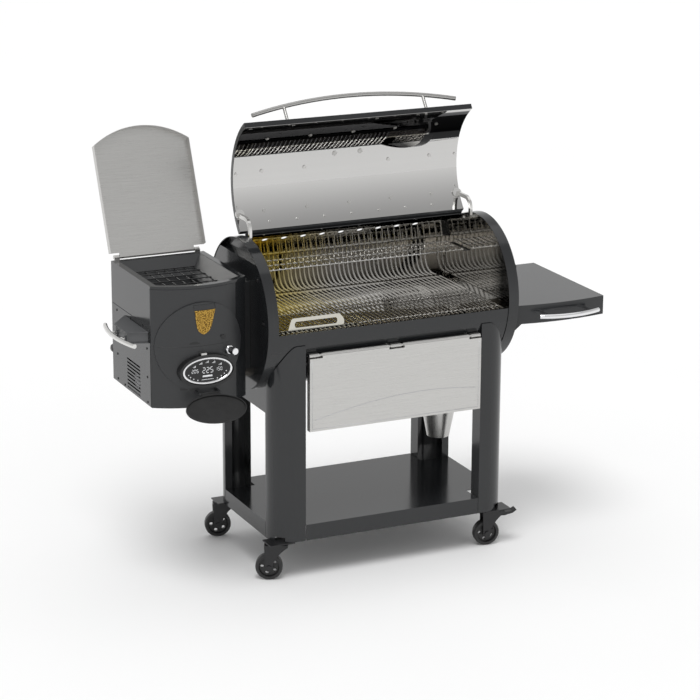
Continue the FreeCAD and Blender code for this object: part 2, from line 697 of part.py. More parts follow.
def burn_pot():
    """The fire cup, with its air holes and the igniter rod beside it."""
    cup = rod("pot_cup", "Z", "pot_x", "barrel_y", "pot_low", "pot_radius", "pot_high - pot_low")
    hollow = rod("pot_hollow", "Z", "pot_x", "barrel_y", "pot_low + 3", "pot_radius - 3", "pot_high")
    mouth = rod("pot_mouth", "X", "pot_x - pot_radius - 10", "barrel_y", "auger_z", "tube_radius + 0.3",
                "pot_radius")
    holes = []
    for i in range(8):
        turn = 45 * i + 22.5
        drill = doc.addObject("Part::Cylinder", "pot_hole_%d" % i)
        drill.Placement = Placement(Vector(), Rotation(AXES["Z"], turn) * TURNS["X"])
        bind(drill, "Radius", "4")
        bind(drill, "Height", "pot_radius + 20")
        bind_base(drill, "pot_x", "barrel_y", "pot_low + 18")
        holes.append(drill)
    pot = cut("pot_body", cup, hollow, mouth, *holes)
    igniter = rod("pot_igniter", "X", "pot_x - 130", "barrel_y + 48", "pot_low + 24", "5", "88")
    finish(group("burn_pot", pot, igniter), "burn_pot")


def auger_parts():
    """Tube, screw and gear motor, on one axis along X from the hopper to the burn pot."""
    end = "pot_x - pot_radius + 3"
    outer = rod("tube_outer", "X", "tube_start", "barrel_y", "auger_z", "tube_radius", "%s - tube_start" % end)
    bore = rod("tube_bore", "X", "tube_start - 1", "barrel_y", "auger_z", "tube_radius - tube_gauge",
               "%s - tube_start + 2" % end)
    throat = box("tube_throat", "throat_x", "barrel_y - 24", "auger_z", "100", "48", "60")
    finish(cut("auger_tube", outer, bore, throat), "auger_tube")

    body = doc.addObject("PartDesign::Body", "auger")
    shaft = new_sketch(body, "XY")
    draw(shaft, ("0", "0", "auger_core"))
    stem = body.newObject("PartDesign::Pad", "auger_stem")
    stem.Profile = shaft
    bind(stem, "Length", "%s - tube_start - 3" % end)
    doc.recompute()
    blade = new_sketch(body, "XZ")
    draw(blade, [("auger_core - 1", "6"), ("auger_radius", "6"), ("auger_radius", "9"), ("auger_core - 1", "9")])
    flight = body.newObject("PartDesign::AdditiveHelix", "auger_flight")
    flight.Profile = blade
    flight.ReferenceAxis = (blade, ["V_Axis"])
    flight.Mode = "pitch-height-angle"
    bind(flight, "Pitch", "auger_pitch")
    bind(flight, "Height", "9 * auger_pitch")
    body.Tip = flight
    finish(body, "auger", "tube_start + 1", "barrel_y", "auger_z", [("Y", "90")])

    gearbox = box("motor_gearbox", "tube_start - 42", "barrel_y - 34", "auger_z - 34", "40", "68", "68")
    can = rod("motor_can", "X", "tube_start - 88", "barrel_y", "auger_z", "26", "48")
    finish(fuse("auger_motor", gearbox, can), "auger_motor")


def blower():
    """The combustion fan: a drum housing and its wheel, on an axis along Y."""
    where = ("blower_x", "66", "blower_z")
    drum = rod("blower_drum", "Y", *where, "54", "60")
    bore = rod("blower_bore", "Y", where[0], "68", where[2], "51.5", "56")
    inlet = rod("blower_inlet", "Y", where[0], "120", where[2], "30", "10")
    finish(cut("blower_housing", drum, bore, inlet), "blower_housing")

    hub = rod("impeller_hub", "Y", where[0], "74", where[2], "12", "42")
    plate = rod("impeller_plate", "Y", where[0], "74", where[2], "47", "2.5")
    blades = []
    for i in range(10):
        blade = box("impeller_blade_%d" % i, "0", "0", "10", "2", "36", "36")
        blade.Placement = Placement(Vector(), Rotation(AXES["Y"], 36 * i))
        away = "10 * %s(%d)"
        bind_base(blade, "blower_x + " + away % ("sin", 36 * i), "76", "blower_z + " + away % ("cos", 36 * i))
        blades.append(blade)
    finish(fuse("blower_impeller", hub, plate, *blades), "blower_impeller")


def grease_drop():
    """The spout under the barrel, the bucket and its wire bail."""
    top = "barrel_z - shell_radius"
    pipe = rod("spout_pipe", "Z", "spout_x", "barrel_y", "spout_low", "spout_radius", top + " - spout_low + 4")
    bore = rod("spout_bore", "Z", "spout_x", "barrel_y", "spout_low - 1", "spout_radius - 3", "200")
    hook = box("spout_hook", "spout_x - 5", "barrel_y + spout_radius - 2", "spout_low + 4.5", "10", "16", "3")
    tip = box("spout_tip", "spout_x - 5", "barrel_y + spout_radius + 11", "spout_low + 4.5", "10", "3", "12")
    body = fuse("spout_body", pipe, hook, tip)
    finish(cut("grease_spout", body, barrel_space("spout_barrel"), bore), "grease_spout")

    outer = [
        ("0", "0"), ("bucket_base", "0"), ("bucket_mouth - 0.6", "bucket_high - 3"),
        ("bucket_mouth + 3", "bucket_high - 3"), ("bucket_mouth + 3", "bucket_high"),
        ("bucket_mouth - 2.2", "bucket_high"), ("bucket_base - 1.5", "2"), ("0", "2"),
    ]
    ears = []
    for side, x in (("left", "-bucket_mouth - 4"), ("right", "bucket_mouth - 3")):
        ears.append(box("ear_" + side, x, "-7", "bucket_high - 15", "7", "14", "14"))
    hole = rod("ear_hole", "X", "-bucket_mouth - 10", "0", "bucket_high - 8", "bail_radius + running_fit",
               "2 * bucket_mouth + 20")
    finish(cut("grease_bucket", fuse("bucket_body", turned("bucket_wall", outer), *ears), hole), "grease_bucket",
           "spout_x", "hook_y", "bucket_low")

    arch = bowed_bar("bail_arch", "bail_half", "bail_rise", "bail_radius")
    ends = []
    for side, x in (("left", "-bail_half"), ("right", "bail_half - 12")):
        ends.append(rod("bail_pin_" + side, "X", x, "bail_rise", "0", "bail_radius", "12"))
    finish(fuse("bucket_bail", arch, *ends), "bucket_bail", "spout_x", "hook_y",
           "bucket_low + bucket_high - 8 + bail_rise", [("X", "-90")])


# ---------------------------------------------------------------- lid

LID = ("barrel_y - hinge_y", "barrel_z - hinge_z")
LID_STANDING = (
    "(barrel_y - hinge_y) * cos(lid_open) + (barrel_z - hinge_z) * sin(lid_open)",
    "(barrel_z - hinge_z) * cos(lid_open) - (barrel_y - hinge_y) * sin(lid_open)",
)


def lid():
    """The shut lid drawn about its hinge and swung open: outer skin with ends and lips, and a liner."""
    swing = [("X", "-lid_open")]
    block = slab("lid_block", "YZ", "-lid_half", "2 * lid_half",
                 ring_sector(LID, "barrel_radius", "liner_radius", ["lid_low", "lid_high"]))
    hollow = slab("lid_hollow", "YZ", "-lid_half + barrel_gauge", "2 * (lid_half - barrel_gauge)",
                  ring_sector(LID, "barrel_radius - barrel_gauge", "liner_radius - 5",
                              ["lid_low + 0.55", "lid_high - 0.55"]))
    finish(cut("lid_shell", block, hollow), "lid_shell", "0", "hinge_y", "hinge_z", swing)

    liner = slab("lid_liner", "YZ", "-lid_half + 0.6", "2 * lid_half - 1.2",
                 ring_sector(LID, "liner_radius - 0.2", "liner_radius - 0.2 - liner_gauge",
                             ["lid_low + 0.1", "lid_high - 0.1"]))
    finish(liner, "lid_liner", "0", "hinge_y", "hinge_z", swing)

    heads = []
    spots = [(-338 + 168 * i, angle, 6.5) for angle in (16.4, 80.3) for i in range(5)]
    spots += [(-338 + 168 * i, 48, 6.5) for i in (0, 1, 3, 4)]
    spots += [(x, 38.3, 9) for x in (-54, 48)]
    spots += [(-327 + 109 * i, 89.7, 4.5) for i in range(7)]
    spots += [(x, angle, 4.5) for x in (-438, 438) for angle in (48.5, 75.4)]
    face = "liner_radius - 0.4 - liner_gauge"
    for i, (x, angle, size) in enumerate(spots):
        heads.append(spike("rivet_%d" % i, str(x), LID, face + " - 2.8", str(angle), str(size), "2.8"))
    finish(group("lid_rivets", *heads), "lid_rivets", "0", "hinge_y", "hinge_z", swing)


def lid_handle():
    """The bowed bar and its two posts, square to the lid's face where the bar crosses it."""
    bar = bowed_bar("lid_bar", "lid_bar_half", "lid_bar_bow", "bar_radius")
    reach = "((lid_bar_half ^ 2 + lid_bar_bow ^ 2) / (2 * lid_bar_bow))"
    sag = reach + " - sqrt(" + reach + " ^ 2 - post_x ^ 2)"
    posts = []
    for side, sx in (("left", -1), ("right", 1)):
        posts.append(rod("lid_post_" + side, "Y", "%d * post_x" % sx, sag, "0", "post_radius",
                         "lid_bar_end + lid_bar_bow - 0.3 - (%s)" % sag))
    lean = "(lid_bar_angle + lid_open)"
    spot = polar("hinge_y + " + LID_STANDING[0], "hinge_z + " + LID_STANDING[1],
                 "barrel_radius + lid_bar_end + lid_bar_bow", lean)
    finish(fuse("lid_handle", bar, *posts), "lid_handle", "0", *spot, [("X", "-" + lean)])


def lid_hinges():
    """Hooked arms that reach round the shell's top lip, and the pins they turn on."""
    outline = [
        ("0", "-7"), ("-22", "-7"), ("-55", "26", "-33"), ("-55", "40"), ("-10", "85", "-45"), ("53", "85"),
        ("53", "71"), ("-10", "71"), ("-41", "40", "31"), ("-41", "26"), ("-22", "7", "19"), ("0", "7"),
    ]
    arms = []
    pins = []
    for side, sx in (("left", -1), ("right", 1)):
        low = "%d * arm_x - arm_gauge / 2" % sx
        arm = slab("arm_bar_" + side, "YZ", low, "arm_gauge", outline)
        boss = rod("arm_boss_" + side, "X", low, "0", "0", "10.5", "arm_gauge")
        pad = spike("arm_pad_" + side, "%d * (arm_x - 4)" % sx, LID_STANDING, "liner_radius - 9",
                    "lid_open + 81.8", "17", "6.4")
        bore = rod("arm_bore_" + side, "X", low + " - 1", "0", "0", "lid_pin + running_fit", "arm_gauge + 2")
        arms.append(cut("arm_" + side, fuse("arm_blank_" + side, arm, boss, pad), bore))
        shank = "-wall_in" if sx < 0 else "arm_x - arm_gauge / 2 - 4"
        head = "-arm_x + arm_gauge / 2 + 0.5" if sx < 0 else "arm_x - arm_gauge / 2 - 4"
        pins.append(fuse("lid_pin_" + side,
                         rod("pin_shank_" + side, "X", shank, "hinge_y", "hinge_z", "lid_pin",
                             "wall_in - arm_x + arm_gauge / 2 + 4"),
                         rod("pin_head_" + side, "X", head, "hinge_y", "hinge_z", "8", "3.5"),
                         rod("pin_spacer_" + side, "X", "-wall_in" if sx < 0 else "arm_x + arm_gauge / 2 + 0.5",
                             "hinge_y", "hinge_z", "9", "wall_in - arm_x - arm_gauge / 2 - 0.5")))
    finish(group("lid_hinge_arms", *arms), "lid_hinge_arms", "0", "hinge_y", "hinge_z")

    lugs = []
    for side, x in (("left", "hopper_left + 14"), ("right", "hopper_right - 34")):
        plate = box("lug_plate_" + side, x, "hopper_back + 0.2", "hopper_top - 40", "20", "4", "48")
        eye = rod("lug_eye_" + side, "X", x, "hopper_hinge_y", "hopper_hinge_z", "7", "20")
        lugs += [plate, eye]
    bar = rod("hopper_hinge_rod", "X", "hopper_left + 14", "hopper_hinge_y", "hopper_hinge_z", "hopper_pin",
              "hopper_right - hopper_left - 28")
    pins.append(fuse("hopper_hinge_bar", bar, *lugs))
    finish(group("hinge_pins", *pins), "hinge_pins")


# ---------------------------------------------------------------- hopper

MIDDLE = "((hopper_left + hopper_right) / 2)"


def arc_y(x, apex, middle, reach):
    """Y at x on an arc that bows forward to its apex."""
    return "(%s + (%s) - sqrt((%s) ^ 2 - (%s - (%s)) ^ 2))" % (apex, reach, reach, x, middle)


def bowed(left, right, back, apex, middle=MIDDLE, reach="hopper_round"):
    """A plan with straight sides and back and a bowed front."""
    return [
        (left, back),
        (left, arc_y(left, apex, middle, reach)),
        (right, arc_y(right, apex, middle, reach), reach),
        (right, back),
    ]


def between(name, low, high, *outlines):
    """A flat-ended block from one height to another."""
    return slab(name, "XY", low, "%s - (%s)" % (high, low), *outlines)


def oval_hole(name, play):
    return oval(name, "control_x", "hopper_apex - 30", "control_z", "control_long + " + play,
                "control_tall + " + play, "90")


def hopper_body():
    """A sheet box with a bowed front, a rim round its mouth and a throat to the barrel."""
    gauge = "hopper_gauge"
    outer = between("hopper_outer", "hopper_low", "hopper_top - 1",
                    bowed("hopper_left", "hopper_right", "hopper_back", "hopper_apex + 6"))
    inner = between("hopper_inner", "hopper_low + " + gauge, "hopper_top + 1",
                    bowed("hopper_left + " + gauge, "hopper_right - " + gauge, "hopper_back - " + gauge,
                          "hopper_apex + 6 + " + gauge))
    rim = between("hopper_rim", "hopper_top - rim_high", "hopper_top",
                  bowed("hopper_left", "hopper_right", "hopper_back", "hopper_apex"))
    under = between("hopper_under", "hopper_top - rim_high - 1", "hopper_top - " + gauge,
                    bowed("hopper_left + " + gauge, "hopper_right - " + gauge, "hopper_back - " + gauge,
                          "hopper_apex + " + gauge))
    mouth = between("hopper_mouth", "hopper_top - rim_high - 2", "hopper_top + 2",
                    bowed("hopper_left + rim_inset", "hopper_right - rim_inset", "hopper_back - rim_inset",
                          "hopper_apex + rim_inset"))
    throat = box("throat_outer", "hopper_right - 0.5", "-120", "762", "-hopper_right - barrel_half + 2", "280",
                 "318")
    duct = box("throat_inner", "hopper_right - 10", "-117.5", "764.5", "60", "275", "313")
    door = box("hopper_door", "hopper_left - 5", "-160", "700", "12", "330", "250")
    tube = rod("hopper_tube_hole", "X", "hopper_right - 20", "barrel_y", "auger_z", "tube_radius + 0.3", "90")
    sheet_box = cut("hopper_sheet", outer, inner)
    top = cut("hopper_top_ring", rim, under)
    whole = fuse("hopper_whole", sheet_box, top, throat)
    finish(cut("hopper_body", whole, mouth, duct, door, tube, oval_hole("hopper_oval_hole", "0.3")),
           "hopper_body")


def hopper_front():
    """The bowed cover with its round relief, the oval opening and the lugs of the control flap."""
    def skin(name, apex, right):
        back = "hopper_apex + 5.7"
        return between(name, "hopper_low", "hopper_top - rim_high - 1", [
            ("hopper_left", arc_y("hopper_left", apex, MIDDLE, "hopper_round")),
            (right, arc_y(right, apex, MIDDLE, "hopper_round"), "hopper_round"),
            (right, arc_y(right, back, MIDDLE, "hopper_round")),
            ("hopper_left", arc_y("hopper_left", back, MIDDLE, "hopper_round"), "-hopper_round"),
        ])

    cover = skin("cover_sheet", "hopper_apex", "front_edge")
    relief = skin("relief_block", "hopper_apex - disc_proud", "hopper_right - 20")
    drum = rod("relief_drum", "Y", "disc_x", "hopper_apex - 50", "disc_z", "disc_radius", "200")
    lugs = []
    for side, x in (("left", "control_x - 40"), ("right", "control_x + 33.5")):
        lugs.append(box("flap_lug_" + side, x, "flap_y - 5", "flap_z - 5", "6.5", "50", "10"))
    back = between("lug_back", "hopper_low + 20", "control_z",
                   bowed("hopper_left", "hopper_right", "hopper_back", "hopper_apex + 3"))
    pin = rod("flap_pin", "X", "control_x - 40", "flap_y", "flap_z", "flap_pin_radius", "80")
    spindle = doc.addObject("Part::Cylinder", "dial_hole")
    spindle.Placement = Placement(Vector(), DIAL)
    bind(spindle, "Radius", "3.4")
    bind(spindle, "Height", "60")
    bind_base(spindle, "dial_x - 30 * sin(dial_lean)", "dial_y + 30 * cos(dial_lean)", "dial_z")
    blank = cut("front_blank", fuse("front_sheet", cover, common("front_relief", relief, drum)),
                oval_hole("front_oval_hole", "0.3"), spindle)
    finish(fuse("hopper_front_panel", blank, cut("flap_lugs", fuse("lug_pair", *lugs), back), pin),
           "hopper_front_panel")


def side_cover():
    """The plate over the hopper's left side, with louvres and two finger slots."""
    plate = box("side_plate", "hopper_left - 1.5", "-188", "hopper_low + 3", "1.5", "378",
                "seam_z - hopper_low - 3")
    slots = []
    for i in range(9):
        slots.append(box("louvre_%d" % i, "hopper_left - 3", "-86", "%d" % (697 + 13 * i), "6", "130", "6"))
    slots.append(box("finger_slot_rear", "hopper_left - 3", "-100", "954", "6", "105", "8"))
    slots.append(box("finger_slot_front", "hopper_left - 3", "-176", "962", "6", "58", "8"))
    finish(cut("hopper_side_cover", plate, *slots), "hopper_side_cover")


def loft(name, levels):
    """A solid through (height, outline) levels, straight from each to the next."""
    body = doc.addObject("PartDesign::Body", name)
    sketches = []
    for height, outline in levels:
        sketch = new_sketch(body, "XY", height)
        draw(sketch, outline)
        sketches.append(sketch)
    solid = body.newObject("PartDesign::AdditiveLoft", name + "_loft")
    solid.Profile = sketches[0]
    solid.Sections = sketches[1:]
    solid.Ruled = True
    body.Tip = solid
    return body


def pellet_bin():
    """The funnel that hangs in the hopper's mouth and narrows to the auger, and its wire guard."""
    def level(inset, thick):
        gap = "(%s + %s)" % (inset, thick)
        return bowed("hopper_left + rim_inset + " + gap, "hopper_right - rim_inset - " + gap,
                     "hopper_back - rim_inset - " + gap, "hopper_apex + rim_inset + " + gap,
                     reach="(hopper_round - %s)" % gap)

    def outlet(thick):
        return bowed("throat_x - 2 + " + thick, "throat_x + 102 - " + thick, "barrel_y + 26 - " + thick,
                     "barrel_y - 26 + " + thick, "(throat_x + 50)", "400")

    outer = loft("bin_outer", [("bin_low", outlet("0")), ("bin_step", level("62", "0")),
                               ("hopper_top - 0.5", level("0.3", "0"))])
    inner = loft("bin_inner", [("bin_low - 0.2", outlet("2")), ("bin_step + 0.1", level("62", "2")),
                               ("hopper_top - 0.3", level("0.3", "2"))])
    finish(cut("pellet_bin", outer, inner), "pellet_bin")

    wires = []
    for i in range(7):
        wires.append(rod("guard_bar_%d" % i, "Y", "hopper_left + 66 + %d * 37" % i, "-146", "1085", "2", "276"))
    for i in range(6):
        wires.append(rod("guard_cross_%d" % i, "X", "hopper_left + 64", "%s" % (-144 + 54.4 * i), "1088", "2",
                         "226"))
    finish(fuse("pellet_guard", *wires), "pellet_guard")


def hopper_lid():
    """Drawn shut, pointing forward from its hinge: a sheet folded down at its front and sides."""
    left = "hopper_lid_left"
    right = "hopper_lid_right"
    apex = "hopper_apex - 4.5 - hopper_hinge_y"
    outer = between("lid_tray_outer", "-5.5 - hopper_lid_fold", "-5.5", bowed(left, right, "-13", apex))
    inner = between("lid_tray_inner", "-6 - hopper_lid_fold", "-7.5",
                    bowed(left + " + 2", right + " - 2", "20", apex + " + 2"))
    start = "hopper_left + 35"
    wide = "hopper_right - hopper_left - 70"
    leaf = box("lid_leaf", start, "-14", "-7.5", wide, "14", "3")
    barrel = rod("lid_knuckle", "X", start, "0", "0", "7.4", wide)
    bore = rod("lid_bore", "X", "hopper_left", "0", "0", "hopper_pin + running_fit", "hopper_right - hopper_left")
    blank = fuse("hopper_lid_blank", cut("lid_tray", outer, inner), leaf, barrel)
    finish(cut("hopper_lid", blank, bore), "hopper_lid", "0", "hopper_hinge_y", "hopper_hinge_z",
           [("X", "-hopper_lid_open")])


# ---------------------------------------------------------------- controls

DIAL = Rotation(AXES["Z"], 17) * Rotation(AXES["X"], 90)


def controls():
    """The oval bezel with its face, the hinged cover that hangs below it and the selector dial."""
    ring = oval("bezel_ring", "control_x", "bezel_front", "control_z", "control_long", "control_tall", "46")
    window = oval("bezel_window", "control_x", "bezel_front - 1", "control_z", "control_long - 9",
                  "control_tall - 9", "60")
    finish(cut("control_bezel", ring, window), "control_bezel")
    face = oval("control_face", "control_x", "bezel_front + 8", "control_z", "control_long - 9.2",
                "control_tall - 9.2", "14")
    finish(face, "control_face")

    half = "(flap_gauge / 2)"
    lens = oval("flap_lens", "0", "-" + half, "flap_tall + 10", "flap_long", "flap_tall", "flap_gauge")
    dish = oval("flap_dish", "0", "-%s + 2" % half, "flap_tall + 10", "flap_long - 4", "flap_tall - 4",
                "flap_gauge")
    strap = box("flap_strap", "-32.5", "-2", "0", "65", "4", "14")
    knuckle = rod("flap_knuckle", "X", "-32.5", "0", "0", "4.5", "65")
    bore = rod("flap_bore", "X", "-40", "0", "0", "flap_pin_radius + running_fit", "80")
    blank = fuse("flap_blank", cut("flap_plate", lens, dish), strap, knuckle)
    finish(cut("control_cover", blank, bore), "control_cover", "control_x", "flap_y", "flap_z",
           [("X", "flap_open")])

    outline = [
        ("0", "-10"), ("3", "-10"), ("3", "0.5"), ("16", "0.5"), ("16", "11"), ("14.5", "14"), ("12.5", "14"),
        ("13", "42"), ("11", "44"), ("0", "44"),
    ]
    knob = turned("selector_dial", outline)
    finish(knob, "selector_dial", "dial_x", "dial_y", "dial_z", [("Z", "dial_lean"), ("X", "90")])


# ---------------------------------------------------------------- handles and shelves

def side_handle():
    """The bowed bar on the hopper's left and the folded bracket that holds it."""
    bar = bowed_bar("side_bar", "(handle_back - handle_front) / 2", "handle_bow", "bar_radius")
    posts = []
    for name, x in (("front", "40"), ("rear", "-40")):
        posts.append(rod("side_post_" + name, "Y", x, "2", "0", "post_radius", "handle_bow - 0.5"))
    middle = "(handle_front + handle_back) / 2"
    finish(fuse("side_handle", bar, *posts), "side_handle", "handle_x - handle_bow", middle, "handle_z",
           [("Z", "-90")])

    inner = "hopper_left - 1.7"
    face = "handle_x + 2"
    outside = [(inner, "62"), (face, "-30"), (face, "-151"), (inner, "-178")]
    web = [(inner, "54"), (face + " + 5", "-33"), (face + " + 5", "-148"), (inner, "-171")]
    hollow = [(inner + " - 2.5", "46"), (face + " + 8", "-34.5"), (face + " + 8", "-145"),
              (inner + " - 2.5", "-166")]
    low = "handle_z - 14"
    parts = [
        between("bracket_low", low, low + " + 2.5", outside),
        between("bracket_high", low + " + 37.5", low + " + 40", outside),
        between("bracket_web", low + " + 2", low + " + 38", web, hollow),
    ]
    for name, y in (("front", middle + " - 40"), ("rear", middle + " + 40")):
        parts.append(rod("bracket_boss_" + name, "X", face, y, "handle_z", "9", "6"))
    finish(fuse("side_handle_bracket", *parts), "side_handle_bracket")


SIDE_MIDDLE = "((side_left + side_right) / 2)"
SIDE_REACH = "(((side_right - side_left) ^ 2 / 4 + side_bow ^ 2) / (2 * side_bow))"


def side_shelf():
    """The right-hand shelf, open below, its two gussets and the towel bar on its apron."""
    apex = "-side_half - side_bow"
    outer = between("side_outer", "side_top - apron_high", "side_top",
                    bowed("side_left", "side_right", "side_half", apex, SIDE_MIDDLE, SIDE_REACH))
    inner = between("side_inner", "side_top - apron_high - 1", "side_top - 2.5",
                    bowed("side_left + 2.5", "side_right - 2.5", "side_half - 2.5", apex + " + 2.5", SIDE_MIDDLE,
                          SIDE_REACH))
    finish(cut("side_shelf", outer, inner), "side_shelf")

    wall = "wall_in + barrel_gauge + 0.5"
    low = "side_top - apron_high - 0.2"
    gussets = []
    for name, y in (("front", "225"), ("rear", "-193")):
        gussets.append(slab("gusset_" + name, "XZ", y, "3", [
            (wall, low + " - 68"), ("side_left + 62", low), ("side_left - 0.5", low),
            ("side_left - 0.5", "side_top - 11"), (wall, "side_top - 11"),
        ]))
    finish(group("side_shelf_brackets", *gussets), "side_shelf_brackets")

    bar = bowed_bar("towel_tube", "(towel_right - towel_left) / 2", "towel_bow", "bar_radius")
    middle = "((towel_left + towel_right) / 2)"
    posts = []
    for name, sx in (("left", -1), ("right", 1)):
        x = "%d * 88" % sx
        face = arc_y(middle + " + " + x, apex, SIDE_MIDDLE, SIDE_REACH)
        posts.append(rod("towel_post_" + name, "Y", x, "13", "0", "post_radius",
                         "%s - (towel_y - towel_bow) - 13.6" % face))
    finish(fuse("towel_bar", bar, *posts), "towel_bar", middle, "towel_y - towel_bow", "towel_z")


def front_shelf():
    """The fold-down shelf, hanging: a pan open at the back on two knuckles, and the rod it hangs on."""
    skin = "2.5"
    half = "front_thick / 2"
    pan = box("front_pan", "-front_half", "-" + half, "-8 - front_high", "2 * front_half", "front_thick",
              "front_high")
    hollow = box("front_hollow", "-front_half + " + skin, "-%s + %s" % (half, skin), "-8 - front_high + " + skin,
                 "2 * front_half - 5", "front_thick", "front_high - 5")
    parts = [cut("front_tray", pan, hollow)]
    for side, x in (("left", "-front_half + 49"), ("right", "30")):
        long = "front_half - 79"
        parts.append(rod("front_knuckle_" + side, "X", x, "0", "0", "8", long))
        parts.append(box("front_strip_" + side, x, "-" + half, "-9", long, "4.5", "9"))
    bore = rod("front_bore", "X", "-front_half", "0", "0", "front_pin + running_fit", "2 * front_half")
    finish(cut("front_shelf", fuse("front_blank_shelf", *parts), bore), "front_shelf", "0", "front_hinge_y",
           "front_hinge_z")

    bar = rod("front_rod", "X", "-front_half + 3", "front_hinge_y", "front_hinge_z", "front_pin",
              "2 * front_half - 6")
    lugs = []
    for side, x, long in (("left", "-front_half + 1", "38"), ("middle", "-20", "40"),
                          ("right", "front_half - 39", "38")):
        nose = rod("front_nose_" + side, "X", x, "front_hinge_y", "front_hinge_z", "7.4", long)
        tail = box("front_tail_" + side, x, "front_hinge_y", "front_hinge_z - 5", long, "60", "12.4")
        lugs.append(fuse("front_lug_" + side, nose, tail))
    finish(cut("front_shelf_hinge", fuse("front_hinge_set", bar, *lugs), barrel_space("front_hinge_barrel")),
           "front_shelf_hinge")


def fittings():
    """Cable gland, probe grommet and the screws that show."""
    gland = rod("gland_ring", "Y", "hopper_left + 14", "hopper_back + 0.2", "793", "16", "22")
    collar = rod("gland_collar", "Y", "hopper_left + 14", "hopper_back + 22", "793", "11", "14")
    bore = rod("gland_bore", "Y", "hopper_left + 14", "hopper_back - 1", "793", "4", "50")
    finish(cut("power_gland", fuse("gland_body", gland, collar), bore), "power_gland")

    cap = rod("grommet_cap", "X", "wall_in + barrel_gauge + 0.2", "-222", "1052", "15", "9")
    stem = rod("grommet_stem", "X", "wall_in + barrel_gauge + 9", "-222", "1052", "10", "32")
    finish(fuse("probe_grommet", cap, stem), "probe_grommet")

    heads = []
    spots = [(y, z) for y in (143,) for z in (955, 893, 793, 701)]
    spots += [(-156, z) for z in (892, 789, 698)]
    for i, (y, z) in enumerate(spots + [(-183, 951), (73, 697)]):
        heads.append(rod("screw_%d" % i, "X", "hopper_left - 3.8", str(y), str(z), "4", "2.2"))
    for i, (y, z) in enumerate(((-240, 954), (-190, 1100))):
        heads.append(rod("bolt_%d" % i, "X", "-barrel_half - 1.2", str(y), str(z), "6", "3"))
    finish(group("screws", *heads), "screws")


# ---------------------------------------------------------------- build

def build():
    fill_sheet()
    for corner, (sx, sy) in CORNERS.items():
        leg(corner, sx, sy)
    bottom_shelf()
    leg_braces()
    caster_plates()
    casters()
    barrel_shell()
    end_cap("left", -1)
    end_cap("right", 1)
    finish(grate("cooking_grate", "grate_left", "grate_right"), "cooking_grate")
    sear_grate()
    warming_rack()
    grease_tray()
    flame_deflector()
    burn_pot()
    auger_parts()
    blower()
    grease_drop()
    lid()
    lid_handle()
    lid_hinges()
    hopper_body()
    hopper_front()
    side_cover()
    pellet_bin()
    hopper_lid()
    controls()
    side_handle()
    side_shelf()
    front_shelf()
    fittings()
    doc.recompute()


def check():
    """Stop if anything failed to build."""
    for item in doc.Objects:
        if {"Invalid", "Error"} & set(item.State):
            raise RuntimeError("%s: %s" % (item.Name, item.State))
    for item in nodes:
        if item.Shape.isNull() or not item.Shape.isValid() or not item.Shape.Solids:
            raise RuntimeError("%s has no valid solid" % item.Label)


def export():
    os.makedirs("parts", exist_ok=True)
    for item in nodes:
        item.Shape.exportStep("parts/%s.step" % item.Label)


build()
check()
export()
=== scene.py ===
"""Looks for the pellet grill: materials, small trim and a plain studio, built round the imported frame."""
import math

import bmesh
import bpy
from mathutils import Matrix, Vector
from mathutils.bvhtree import BVHTree


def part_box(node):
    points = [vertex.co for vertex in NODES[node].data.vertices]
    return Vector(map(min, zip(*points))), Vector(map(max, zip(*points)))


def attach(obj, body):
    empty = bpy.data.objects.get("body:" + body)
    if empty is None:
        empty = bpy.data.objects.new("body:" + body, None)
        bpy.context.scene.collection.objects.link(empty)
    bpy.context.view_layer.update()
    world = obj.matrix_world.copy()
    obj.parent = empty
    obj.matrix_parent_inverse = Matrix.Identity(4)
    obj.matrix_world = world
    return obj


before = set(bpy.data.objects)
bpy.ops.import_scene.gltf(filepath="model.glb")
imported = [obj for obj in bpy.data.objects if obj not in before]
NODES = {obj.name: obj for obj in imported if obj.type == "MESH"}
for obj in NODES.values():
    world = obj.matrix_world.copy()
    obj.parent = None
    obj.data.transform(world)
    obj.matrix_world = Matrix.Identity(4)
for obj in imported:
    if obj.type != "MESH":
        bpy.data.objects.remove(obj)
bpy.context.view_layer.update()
MM = 0.001


def centre(node):
    low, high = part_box(node)
    return (low + high) / 2


# ---------------------------------------------------------------- materials

